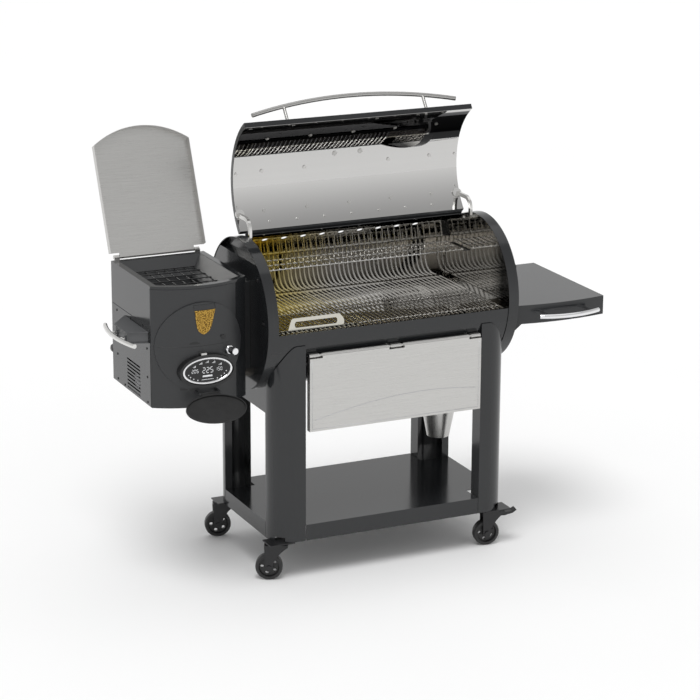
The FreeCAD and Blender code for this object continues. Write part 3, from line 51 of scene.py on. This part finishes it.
class Shader:
    """A Principled material with a few short words for the nodes that it uses."""

    def __init__(self, name, **sockets):
        self.material = bpy.data.materials.new(name)
        self.material.use_nodes = True
        self.tree = self.material.node_tree
        self.main = self.tree.nodes["Principled BSDF"]
        for key, value in sockets.items():
            self.main.inputs[key.replace("_", " ")].default_value = value

    def node(self, kind, **settings):
        item = self.tree.nodes.new("ShaderNode" + kind)
        for key, value in settings.items():
            setattr(item, key, value)
        return item

    def link(self, source, target):
        self.tree.links.new(source, target)

    def place(self, stretch=(1, 1, 1)):
        """Positions in the piece's own metres, stretched."""
        coords = self.node("TexCoord")
        mapping = self.node("Mapping")
        mapping.inputs["Scale"].default_value = stretch
        self.link(coords.outputs["Object"], mapping.inputs["Vector"])
        return mapping.outputs["Vector"]

    def noise(self, scale, detail=3.0, stretch=(1, 1, 1), rough=0.5):
        item = self.node("TexNoise")
        item.inputs["Scale"].default_value = scale
        item.inputs["Detail"].default_value = detail
        item.inputs["Roughness"].default_value = rough
        self.link(self.place(stretch), item.inputs["Vector"])
        return item.outputs["Fac"]

    def spread(self, source, low, high, start=0.3, end=0.7):
        """A value that goes from low to high while the source goes from start to end."""
        item = self.node("MapRange")
        for key, value in (("From Min", start), ("From Max", end), ("To Min", low), ("To Max", high)):
            item.inputs[key].default_value = value
        self.link(source, item.inputs["Value"])
        return item.outputs["Result"]

    def ramp(self, source, *stops):
        """A colour picked by the source; each stop is (spot, colour)."""
        item = self.node("ValToRGB")
        points = item.color_ramp.elements
        while len(points) < len(stops):
            points.new(0.5)
        for point, (spot, colour) in zip(points, stops):
            point.position = spot
            point.color = (*colour, 1)
        self.link(source, item.inputs["Fac"])
        return item.outputs["Color"]

    def tones(self, source, low, high):
        """One tone where the source is low and another where it is high, with a soft change between."""
        return self.ramp(source, (0.3, low), (0.7, high))

    def mix(self, factor, one, other):
        """One colour where the factor is 0 and the other where it is 1."""
        item = self.node("Mix", data_type="RGBA")
        self.link(factor, item.inputs["Factor"])
        colours = [socket for socket in item.inputs if socket.type == "RGBA"]
        for socket, value in zip(colours, (one, other)):
            if isinstance(value, tuple):
                socket.default_value = (*value, 1)
            else:
                self.link(value, socket)
        return next(socket for socket in item.outputs if socket.type == "RGBA")

    def math(self, kind, one, other):
        item = self.node("Math", operation=kind)
        for socket, value in zip(item.inputs, (one, other)):
            if isinstance(value, (int, float)):
                socket.default_value = value
            else:
                self.link(value, socket)
        return item.outputs["Value"]

    def vector(self, kind, one, other, output="Vector"):
        item = self.node("VectorMath", operation=kind)
        for socket, value in zip(item.inputs, (one, other)):
            if isinstance(value, tuple):
                socket.default_value = value
            else:
                self.link(value, socket)
        return item.outputs[output]

    def parts(self, source):
        """The X, Y and Z of a vector."""
        item = self.node("SeparateXYZ")
        self.link(source, item.inputs["Vector"])
        return item.outputs

    def bump(self, height, distance, strength):
        item = self.node("Bump")
        item.inputs["Strength"].default_value = strength
        item.inputs["Distance"].default_value = distance
        self.link(height, item.inputs["Height"])
        self.link(item.outputs["Normal"], self.main.inputs["Normal"])

    def colour(self, source):
        self.link(source, self.main.inputs["Base Color"])

    def rough(self, source):
        self.link(source, self.main.inputs["Roughness"])


def shade(tone, amount):
    """A tone made lighter or darker, never past white."""
    return tuple(min(amount * c, 1) for c in tone)


def paint(name, tone, rough=0.14):
    """Baked enamel with a faint orange peel and slightly dusty patches."""
    s = Shader(name, Metallic=0.0)
    s.colour(s.tones(s.noise(scale=2.2, detail=4.0), shade(tone, 0.92), shade(tone, 1.08)))
    s.rough(s.spread(s.noise(scale=5.0, detail=5.0), rough - 0.03, rough + 0.03))
    s.bump(s.noise(scale=900.0, detail=1.0), distance=0.02 * MM, strength=0.3)
    return s.material


def brushed(name, tone, along, rough=0.3, tint=0.06):
    """Rolled stainless: long fine streaks along one axis."""
    stretch = {"x": (1, 60, 60), "y": (60, 1, 60), "z": (60, 60, 1)}[along]
    s = Shader(name, Metallic=1.0)
    streak = s.noise(scale=9.0, detail=6.0, stretch=stretch, rough=0.7)
    s.colour(s.tones(streak, shade(tone, 1 - tint), shade(tone, 1 + tint)))
    s.rough(s.spread(streak, rough - 0.06, rough + 0.07))
    s.bump(streak, distance=0.03 * MM, strength=0.4)
    return s.material


def plastic(name, tone, rough, grain=700.0):
    """Moulded plastic with a fine texture."""
    s = Shader(name, Metallic=0.0)
    s.colour(s.tones(s.noise(scale=14.0, detail=4.0), shade(tone, 0.8), shade(tone, 1.2)))
    s.rough(s.spread(s.noise(scale=30.0, detail=4.0), rough - 0.07, rough + 0.07))
    s.bump(s.noise(scale=grain, detail=2.0), distance=0.06 * MM, strength=0.5)
    return s.material


def polished(name, tone, rough=0.12, tint=0.05):
    """Bright metal with faint waves in it."""
    s = Shader(name, Metallic=1.0)
    s.colour(s.tones(s.noise(scale=3.5), shade(tone, 1 - tint), tone))
    s.rough(s.spread(s.noise(scale=60.0, detail=4.0), 0.8 * rough, 1.3 * rough))
    return s.material


def steel_with_painted_reflection_band(name, tone, painted_reflection_tone, rough, node, lower, upper):
    """Mirror-bright steel with a painted dark reflection: a near-black band between two depths below its
    node's top.
    """
    s = Shader(name, Metallic=1.0, Roughness=rough)
    height = s.parts(s.place())["Z"]
    top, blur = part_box(node)[1].z, 2 * MM
    above = s.spread(height, 0.0, 1.0, top - lower - blur, top - lower + blur)
    below = s.spread(height, 1.0, 0.0, top - upper - blur, top - upper + blur)
    steel = s.tones(s.noise(scale=3.5), shade(tone, 0.98), tone)
    s.colour(s.mix(s.math("MULTIPLY", above, below), steel, painted_reflection_tone))
    return s.material


def hammered(name, dark, bright):
    """Plated metal with small uneven dimples."""
    s = Shader(name, Metallic=1.0)
    dimple = s.noise(scale=260.0, detail=2.0)
    s.colour(s.ramp(dimple, (0.42, dark), (0.55, bright)))
    s.rough(s.spread(dimple, 0.45, 0.25))
    s.bump(dimple, distance=0.4 * MM, strength=0.6)
    return s.material


def two_faced(name, inward):
    """Charcoal paint outside; inside, steel with a heat stain towards its left and painted shade darkening
    its front.
    """
    s = Shader(name)
    place = s.node("NewGeometry")
    inside = inward(s, place)
    spot = s.parts(place.outputs["Position"])
    low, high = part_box("barrel_shell")
    leftward = s.spread(spot["X"], 0.8, 0.0, low.x, (low.x + high.x) / 2)
    heat = s.math("ADD", leftward, s.math("MULTIPLY", s.noise(scale=5.0, detail=4.0), 0.3))
    steel = s.ramp(heat, (0.2, (0.6, 0.59, 0.57)), (0.55, (0.66, 0.57, 0.28)), (0.85, (0.78, 0.62, 0.08)))
    # Painted shade: towards the front, the inside steel turns near-black.
    unshaded = s.spread(spot["Y"], 0.0, 1.0, low.y + 80 * MM, low.y + 170 * MM)
    s.colour(s.mix(inside, PAINT_TONE, s.mix(unshaded, PAINTED_SHADE_TONE, steel)))
    s.link(inside, s.main.inputs["Metallic"])
    dust = s.spread(s.noise(scale=6.0, detail=4.0), 0.12, 0.16)
    s.rough(s.math("ADD", s.math("MULTIPLY", inside, -0.09), dust))
    return s.material


def towards_axis(s, place):
    """1 where a surface of the barrel faces the barrel's axis."""
    middle = centre("end_cap_right")
    away = s.vector("SUBTRACT", place.outputs["Position"], (0, middle.y, middle.z))
    across = s.vector("MULTIPLY", away, (0, 1, 1))
    facing = s.vector("DOT_PRODUCT", across, place.outputs["True Normal"], "Value")
    return s.math("LESS_THAN", facing, -20 * MM)


def towards_middle(side):
    """A test that is 1 where an end cap faces the barrel's middle; side is 1 at the left, -1 at the right."""
    def test(s, place):
        normal = s.parts(place.outputs["True Normal"])
        return s.math("GREATER_THAN", s.math("MULTIPLY", normal["X"], side), 0.7)
    return test


PAINT_TONE = (0.0155, 0.0165, 0.0178)
STEEL_TONE = (0.55, 0.545, 0.53)
# The tone of the painted shade at the front of the barrel's inside.
PAINTED_SHADE_TONE = (0.03, 0.03, 0.03)
PAINT = paint("charcoal_enamel", PAINT_TONE)
SOFT_PAINT = paint("charcoal_satin", (0.021, 0.022, 0.0235), rough=0.42)
BRACKET = paint("bracket_grey", (0.075, 0.077, 0.08), rough=0.4)
STAINLESS_X = brushed("stainless_along_x", STEEL_TONE, "x")
STAINLESS_Z = brushed("stainless_along_z", STEEL_TONE, "z")
STAINLESS_Y = brushed("stainless_along_y", (0.7, 0.695, 0.68), "y", rough=0.22)
BAR = brushed("handle_bar", (0.42, 0.415, 0.405), "x", rough=0.24)
# The near-black band on the liner is a painted dark reflection.
LINER = steel_with_painted_reflection_band("polished_lid_liner", (0.58, 0.575, 0.565), painted_reflection_tone=(0.036, 0.036, 0.038), rough=0.035,
               node="lid_liner", lower=97 * MM, upper=11 * MM)
ROD = polished("bright_rod", (0.62, 0.61, 0.59))
WARM_ROD = polished("heated_rod", (0.6, 0.585, 0.52), rough=0.16, tint=0.06)
CHROME = polished("chrome_plate", (0.82, 0.82, 0.83), rough=0.05, tint=0.02)
BRASS = hammered("brass_plate", dark=(0.1, 0.055, 0.015), bright=(0.5, 0.31, 0.07))
ZINC = brushed("zinc_plate", (0.5, 0.5, 0.52), "z", rough=0.35)
FIRE = brushed("heated_steel", (0.3, 0.28, 0.25), "x", rough=0.4, tint=0.2)
BLACK_STEEL = paint("caster_black", (0.009, 0.009, 0.01), rough=0.35)
SCREW = paint("black_screw", (0.012, 0.012, 0.012), rough=0.3)
BLACK = plastic("moulded_black", (0.009, 0.009, 0.0095), rough=0.4)
FLAP = plastic("flap_black", (0.003, 0.003, 0.0032), rough=0.6)
TREAD = plastic("wheel_black", (0.014, 0.014, 0.0145), rough=0.45)
DISPLAY = plastic("display_black", (0.004, 0.004, 0.0045), rough=0.1, grain=2000.0)
MARKS = plastic("display_white", (0.75, 0.76, 0.78), rough=0.4)
SHELL = two_faced("barrel_two_faced", towards_axis)
CAPS = {"left": two_faced("left_cap_two_faced", towards_middle(1)),
        "right": two_faced("right_cap_two_faced", towards_middle(-1))}


def dress(material, *names):
    for name in names:
        slots = NODES[name].data.materials
        slots.clear()
        slots.append(material)


CORNERS = ("front_left", "front_right", "rear_left", "rear_right")
dress(PAINT, *["leg_" + c for c in CORNERS], "bottom_shelf", "leg_braces", "lid_shell", "hopper_body",
      "hopper_side_cover", "side_shelf", "side_shelf_brackets", "grease_spout")
dress(SOFT_PAINT, "hopper_front_panel", "pellet_bin")
dress(BRACKET, "side_handle_bracket")
dress(SHELL, "barrel_shell")
for side, material in CAPS.items():
    dress(material, "end_cap_" + side)
dress(STAINLESS_X, "front_shelf", "hopper_lid", "lid_rivets", "front_shelf_hinge", "hinge_pins")
dress(STAINLESS_Y, "side_handle", "lid_hinge_arms")
dress(STAINLESS_Z, "grease_bucket")
dress(BAR, "lid_handle")
dress(CHROME, "towel_bar", "selector_dial")
dress(LINER, "lid_liner")
dress(ROD, "cooking_grate", "warming_rack", "bucket_bail")
dress(WARM_ROD, "sear_grate")
dress(ZINC, "auger_motor")
dress(FIRE, "grease_tray", "flame_deflector", "burn_pot", "auger_tube", "auger")
dress(BLACK_STEEL, "caster_plates", *["caster_fork_" + c for c in CORNERS], "pellet_guard")
dress(TREAD, *["caster_wheel_" + c for c in CORNERS])
dress(BLACK, "brake_lever_front_right", "brake_lever_rear_right", "power_gland", "probe_grommet",
      "blower_housing", "blower_impeller", "control_bezel")
dress(FLAP, "control_cover")
dress(SCREW, "screws")
dress(DISPLAY, "control_face")


# ---------------------------------------------------------------- shapes for trim

SINK = 0.3 * MM         # how far trim reaches into the face that it lies on
FAR_FRONT = -5.0        # a y well in front of the whole grill
TREES = {}


def front_y(node, x, z):
    """How far forward a node's outside is at one spot, looking along +Y."""
    if node not in TREES:
        item = NODES[node]
        mesh = bmesh.new()
        mesh.from_mesh(item.data)
        mesh.transform(item.matrix_world)
        TREES[node] = BVHTree.FromBMesh(mesh)
        mesh.free()
    spot = TREES[node].ray_cast(Vector((x, FAR_FRONT, z)), Vector((0, 1, 0)))[0]
    return spot.y


def piece(name, mesh, material, body, smooth=True):
    """One new piece made from a finished bmesh."""
    bmesh.ops.recalc_face_normals(mesh, faces=mesh.faces)
    data = bpy.data.meshes.new(name)
    mesh.to_mesh(data)
    mesh.free()
    item = bpy.data.objects.new(name, data)
    bpy.context.scene.collection.objects.link(item)
    data.materials.append(material)
    for face in data.polygons:
        face.use_smooth = smooth
    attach(item, body)


def bridge(mesh, rings, closed=False):
    """Side faces between rings of vertices, then two end faces unless the rings close up."""
    for one, other in zip(rings, rings[1:] + rings[:1] if closed else rings[1:]):
        for i in range(len(one)):
            j = (i + 1) % len(one)
            mesh.faces.new((one[i], one[j], other[j], other[i]))
    if not closed:
        mesh.faces.new(rings[0])
        mesh.faces.new(rings[-1][::-1])


def oval_ring(mesh, middle, half_long, half_tall, width, depth, steps=96, sides=10):
    """A rounded band that runs round an upright oval, with its face towards -Y."""
    turns = [2 * math.pi * k / sides for k in range(sides)]
    rings = []
    for i in range(steps):
        angle = 2 * math.pi * i / steps
        c, s = math.cos(angle), math.sin(angle)
        out = Vector((c / half_long, 0, s / half_tall)).normalized()
        at = Vector(middle) + Vector((half_long * c, 0, half_tall * s))
        rings.append([mesh.verts.new(at + out * (width / 2 * math.cos(turn))
                                     + Vector((0, depth / 2 * math.sin(turn), 0))) for turn in turns])
    bridge(mesh, rings, closed=True)


def ribbon(mesh, node, path, width, lift):
    """A thin raised line laid on a node's front along a path of (x, z) spots."""
    rings = []
    for i, (x, z) in enumerate(path):
        before, after = path[max(i - 1, 0)], path[min(i + 1, len(path) - 1)]
        along = Vector((after[0] - before[0], after[1] - before[1])).normalized()
        across = Vector((-along.y, along.x)) * (width / 2)
        face = front_y(node, x, z)
        rings.append([mesh.verts.new((x + s * across.x, face + d, z + s * across.y))
                      for s, d in ((-1, SINK), (-1, -lift), (1, -lift), (1, SINK))])
    bridge(mesh, rings)


def patch(mesh, node, rows, lift, columns=10):
    """A thin plate laid on a node's front; each row is (z, left x, right x)."""
    layers = []
    for depth in (-lift, SINK):
        grid = []
        for z, left, right in rows:
            spots = [left + (right - left) * k / columns for k in range(columns + 1)]
            grid.append([mesh.verts.new((x, front_y(node, x, z) + depth, z)) for x in spots])
        for one, other in zip(grid, grid[1:]):
            for k in range(columns):
                mesh.faces.new((one[k], one[k + 1], other[k + 1], other[k]))
        layers.append(grid)
    rims = [grid[0] + [line[-1] for line in grid[1:]] + grid[-1][-2::-1] + [line[0] for line in grid[-2:0:-1]]
            for grid in layers]
    for i in range(len(rims[0])):
        j = (i + 1) % len(rims[0])
        mesh.faces.new((rims[0][i], rims[0][j], rims[1][j], rims[1][i]))


def block(mesh, low, high):
    """A small box between two corners."""
    corners = [mesh.verts.new((x, y, z)) for z in (low[2], high[2]) for x, y in
               ((low[0], low[1]), (high[0], low[1]), (high[0], high[1]), (low[0], high[1]))]
    bridge(mesh, [corners[:4], corners[4:]])


def disc(mesh, x, z, front, back, radius, steps=20):
    """A short round peg that faces -Y."""
    turns = [2 * math.pi * k / steps for k in range(steps)]
    bridge(mesh, [[mesh.verts.new((x + radius * math.cos(turn), y, z + radius * math.sin(turn)))
                   for turn in turns] for y in (front, back)])


# ---------------------------------------------------------------- control panel

# A figure's bars run clockwise from its top as a to f, with g across its middle.
SEGMENTS = {"0": "abcdef", "1": "bc", "2": "abged", "5": "afgcd"}
# Each readout is its figures, the place of its left edge from the middle of the face, and its height, in mm.
READOUTS = (("225", -18, 19), ("205", -58, 12), ("150", 30, 12))


def digit(mesh, sign, x, z, tall, front, back):
    """One figure, half as wide as it is tall, with its lower left corner at (x, z)."""
    wide, half = tall / 2, tall / 2
    stroke = 0.13 * tall
    pad, gap = stroke / 2, 0.6 * stroke
    bars = {"a": (0, tall, wide, tall), "b": (wide, half, wide, tall), "c": (wide, 0, wide, half),
            "d": (0, 0, wide, 0), "e": (0, 0, 0, half), "f": (0, half, 0, tall), "g": (0, half, wide, half)}
    for key in SEGMENTS[sign]:
        x0, z0, x1, z1 = bars[key]
        more_x, more_z = (-gap, pad) if z0 == z1 else (pad, -gap)
        block(mesh, (x + x0 - more_x, front, z + z0 - more_z), (x + x1 + more_x, back, z + z1 + more_z))


def readouts(mesh, middle, front, back):
    """The three numbers across the face."""
    for text, left, height in READOUTS:
        tall = height * MM
        base = middle.z + 2 * MM - tall / 2
        for k, sign in enumerate(text):
            digit(mesh, sign, middle.x + left * MM + 0.75 * tall * k, base, tall, front, back)


def stepped_signs(mesh, middle, front, back):
    """Five little signs of three rising bars, set along a low arch."""
    bar, pitch = 2.6 * MM, 4 * MM
    for k in range(-2, 3):
        left = middle.x + (24 * k - 6) * MM
        base = middle.z + (28 - 3.2 * k ** 2) * MM
        for step in range(3):
            block(mesh, (left + step * pitch, front, base),
                  (left + step * pitch + bar, back, base + 2 * MM + step * bar))


def lower_dots(mesh, middle, half_long, half_tall, front, back):
    """Dots along the lower edge of the face, with a gap at the middle."""
    for k in range(-5, 6):
        if abs(k) > 1:
            angle = math.pi * (1.5 + 0.084 * k)
            disc(mesh, middle.x + 0.76 * half_long * math.cos(angle),
                 middle.z + 0.72 * half_tall * math.sin(angle), front, back, radius=2 * MM)


def control_display():
    """The chrome ring inside the bezel and the lit figures, dots and bars on the black face."""
    low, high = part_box("control_face")
    middle = (low + high) / 2
    half_long, half_tall = (high.x - low.x) / 2, (high.z - low.z) / 2
    mesh = bmesh.new()
    oval_ring(mesh, (middle.x, low.y - 1.5 * MM, middle.z), half_long - 6 * MM, half_tall - 5 * MM,
              width=10 * MM, depth=7 * MM)
    piece("control_trim_ring", mesh, CHROME, "frame")

    front, back = low.y - 0.5 * MM, low.y + SINK
    mesh = bmesh.new()
    readouts(mesh, middle, front, back)
    stepped_signs(mesh, middle, front, back)
    lower_dots(mesh, middle, half_long, half_tall, front, back)
    for half_wide, drop, height in ((18, 22, 6), (22, 32, 1.5)):
        base = middle.z - drop * MM
        block(mesh, (middle.x - half_wide * MM, front, base),
              (middle.x + half_wide * MM, back, base + height * MM))
    piece("control_figures", mesh, MARKS, "frame", smooth=False)


# ---------------------------------------------------------------- hopper front

PANEL = "hopper_front_panel"
BEZEL_LOW, BEZEL_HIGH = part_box("control_bezel")


def on_panel(x, z):
    """A spot on the hopper's front, in mm from the top middle of the control bezel."""
    return (BEZEL_LOW.x + BEZEL_HIGH.x) / 2 + x * MM, BEZEL_HIGH.z + z * MM


def panel_row(z, left, right):
    """One row of a patch on the hopper's front, in the same mm."""
    return on_panel(0, z)[1], on_panel(left, 0)[0], on_panel(right, 0)[0]


def flap_catch():
    """The small plate above the bezel that holds the flap."""
    (left, base), (right, top) = on_panel(-26, 1), on_panel(-6, 8)
    back = front_y(PANEL, *on_panel(-16, 5)) + SINK
    mesh = bmesh.new()
    block(mesh, (left, BEZEL_LOW.y - 3 * MM, base), (right, back, top))
    piece("flap_catch", mesh, STAINLESS_X, "frame", smooth=False)


def peg_and_painted_shade():
    """Painted shade as a flat notch over the panel, the stepped peg beside it, and a painted shadow under the
    bezel.
    """
    mesh = bmesh.new()
    # Painted shade: the finger notch's recess is a flat black patch, not a hollow.
    middle, steps = -42, 6
    rows = []
    for k in range(steps + 1):
        rise = 0.98 * k / steps
        half = 19 * math.sqrt(1 - rise ** 2)
        rows.append(panel_row(37 + 9 * rise, middle - half, middle + half))
    patch(mesh, PANEL, rows, lift=0.3 * MM)
    for across, up, radius in ((68, 50, 8), (61, 54, 5)):
        x, z = on_panel(across, up)
        face = front_y(PANEL, x, z)
        disc(mesh, x, z, face - 4 * MM, face + 1 * MM, radius * MM)
    # Painted shadow: a flat black strip where the hinge lug casts its shadow under the bezel.
    ribbon(mesh, PANEL, [on_panel(x, -124) for x in range(-92, -24, 6)], width=7 * MM, lift=0.5 * MM)
    piece("hopper_peg_and_painted_shade", mesh, BLACK, "frame", smooth=False)


def seam_line():
    """The seam that crosses the round relief."""
    left, right, steps = -164, 100, 30
    path = [on_panel(left + (right - left) * k / steps, 29) for k in range(steps + 1)]
    mesh = bmesh.new()
    ribbon(mesh, PANEL, path, width=1.2 * MM, lift=0.3 * MM)
    piece("hopper_seam_line", mesh, SCREW, "frame")


def badge():
    """A plain dimpled plate, wide at its top and round at its foot, under a painted head plate."""
    mesh = bmesh.new()
    patch(mesh, PANEL, [panel_row(176, -46, 40), panel_row(158, -42, 35)], lift=1.5 * MM)
    piece("badge_head", mesh, PAINT, "frame", smooth=False)

    tall, half_wide, steps, round_from = 86, 38, 14, 0.62
    least = 0.02        # keeps the foot's last row from closing to a point
    rows = []
    for k in range(steps + 1):
        drop = k / steps
        curl = max(drop - round_from, 0) / (1 - round_from)
        half = half_wide * (1 - 0.42 * drop) * math.sqrt(max(1 - curl ** 2, least ** 2))
        middle = -3 - 6 * drop
        rows.append(panel_row(156 - tall * drop, middle - half, middle + half))
    mesh = bmesh.new()
    patch(mesh, PANEL, rows, lift=2 * MM)
    piece("badge_plate", mesh, BRASS, "frame", smooth=False)


# ---------------------------------------------------------------- front shelf and rear rail

def shelf_lines():
    """The folded border and the long arc pressed into the hanging front shelf."""
    low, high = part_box("front_shelf")
    border, hem = 9 * MM, 26 * MM
    left, right, base, top = low.x + border, high.x - border, low.z + border, high.z - hem
    mesh = bmesh.new()
    for path in ([(left, base + 3 * MM), (left, top)], [(right, base + 3 * MM), (right, top)],
                 [(left, base), (right, base)]):
        ribbon(mesh, "front_shelf", path, width=1.2 * MM, lift=0.3 * MM)
    steps, inset, foot = 40, 10 * MM, 14 * MM
    rise, wide = 0.3 * (top - base), right - left - 2 * inset
    arc = [(left + inset + wide * k / steps,
            base + foot + rise * math.sin(math.pi * (0.08 + 0.62 * k / steps))) for k in range(steps + 1)]
    ribbon(mesh, "front_shelf", arc, width=1.6 * MM, lift=0.4 * MM)
    piece("front_shelf_lines", mesh, ZINC, "front_shelf")


def rear_rail():
    """The ribbed rail along the back of the opening, inside the circle that the lid's edge swings on."""
    lid_low, lid_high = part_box("lid_shell")
    back = centre("end_cap_right").y + 73 * MM
    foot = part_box("barrel_shell")[1].z - 8 * MM
    inset = 16 * MM
    outline = [(0, 0), (-3, 3), (-3, 7), (-7, 8.5), (-7, 11.5), (-3, 13), (-3, 15.5), (0, 17.5), (3, 16),
               (4, 0)]
    mesh = bmesh.new()
    bridge(mesh, [[mesh.verts.new((x, back + y * MM, foot + z * MM)) for y, z in outline]
                  for x in (lid_low.x + inset, lid_high.x - inset)])
    piece("opening_rear_rail", mesh, PAINT, "frame", smooth=False)


control_display()
flap_catch()
peg_and_painted_shade()
seam_line()
badge()
shelf_lines()
rear_rail()


# ---------------------------------------------------------------- studio

SKY_LOW, SKY_HIGH = 0.95, 0.4       # brightness level with the horizon, and straight up
FLOOR_REACH = 40
# Each sun is its name, where it shines from, its angle in degrees and its strength.
SUNS = (("key", (-1.0, -1.4, 4.0), 28, 1.3), ("fill", (0.3, 0.5, 4.0), 60, 0.5))
EYE, LENS, SENSOR, FARTHEST = (-3.7424, -8.0323, 3.3524), 130.06, 36, 200
YAW, PITCH, ROLL = (math.radians(angle) for angle in (-25.09, -16.38, 0.29))


def sky():
    """A world that darkens upwards, so that bright metal shows a soft change of tone."""
    world = bpy.data.worlds.new("studio")
    bpy.context.scene.world = world
    world.use_nodes = True
    tree = world.node_tree
    coords = tree.nodes.new("ShaderNodeTexCoord")
    parts = tree.nodes.new("ShaderNodeSeparateXYZ")
    ramp = tree.nodes.new("ShaderNodeValToRGB")
    for point, tone in zip(ramp.color_ramp.elements, (SKY_LOW, SKY_HIGH)):
        point.color = (tone, tone, tone, 1)
    tree.links.new(coords.outputs["Generated"], parts.inputs["Vector"])
    tree.links.new(parts.outputs["Z"], ramp.inputs["Fac"])
    tree.links.new(ramp.outputs["Color"], tree.nodes["Background"].inputs["Color"])


def floor():
    """A wide white floor, which belongs to the studio and not to the grill."""
    r = FLOOR_REACH
    mesh = bpy.data.meshes.new("floor")
    mesh.from_pydata([(-r, -r, 0), (r, -r, 0), (r, r, 0), (-r, r, 0)], [], [(0, 1, 2, 3)])
    item = bpy.data.objects.new("floor", mesh)
    bpy.context.scene.collection.objects.link(item)
    s = Shader("floor_white", Roughness=0.9, Specular_IOR_Level=0.1)
    s.colour(s.tones(s.noise(scale=0.6, detail=2.0), (0.9, 0.9, 0.9), (0.92, 0.92, 0.92)))
    mesh.materials.append(s.material)


def suns():
    for name, spot, angle, power in SUNS:
        light = bpy.data.lights.new(name, "SUN")
        light.energy = power
        light.angle = math.radians(angle)
        item = bpy.data.objects.new(name, light)
        item.rotation_euler = (-Vector(spot)).to_track_quat("-Z", "Y").to_euler()
        bpy.context.scene.collection.objects.link(item)


def camera():
    data = bpy.data.cameras.new("camera")
    data.sensor_width, data.lens, data.clip_end = SENSOR, LENS, FARTHEST
    item = bpy.data.objects.new("camera", data)
    item.location = EYE
    item.rotation_euler = (Matrix.Rotation(YAW, 3, "Z") @ Matrix.Rotation(math.pi / 2 + PITCH, 3, "X")
                           @ Matrix.Rotation(ROLL, 3, "Z")).to_euler()
    bpy.context.scene.collection.objects.link(item)
    bpy.context.scene.camera = item


bpy.context.scene.view_settings.view_transform = "Standard"
sky()
floor()
suns()
camera()
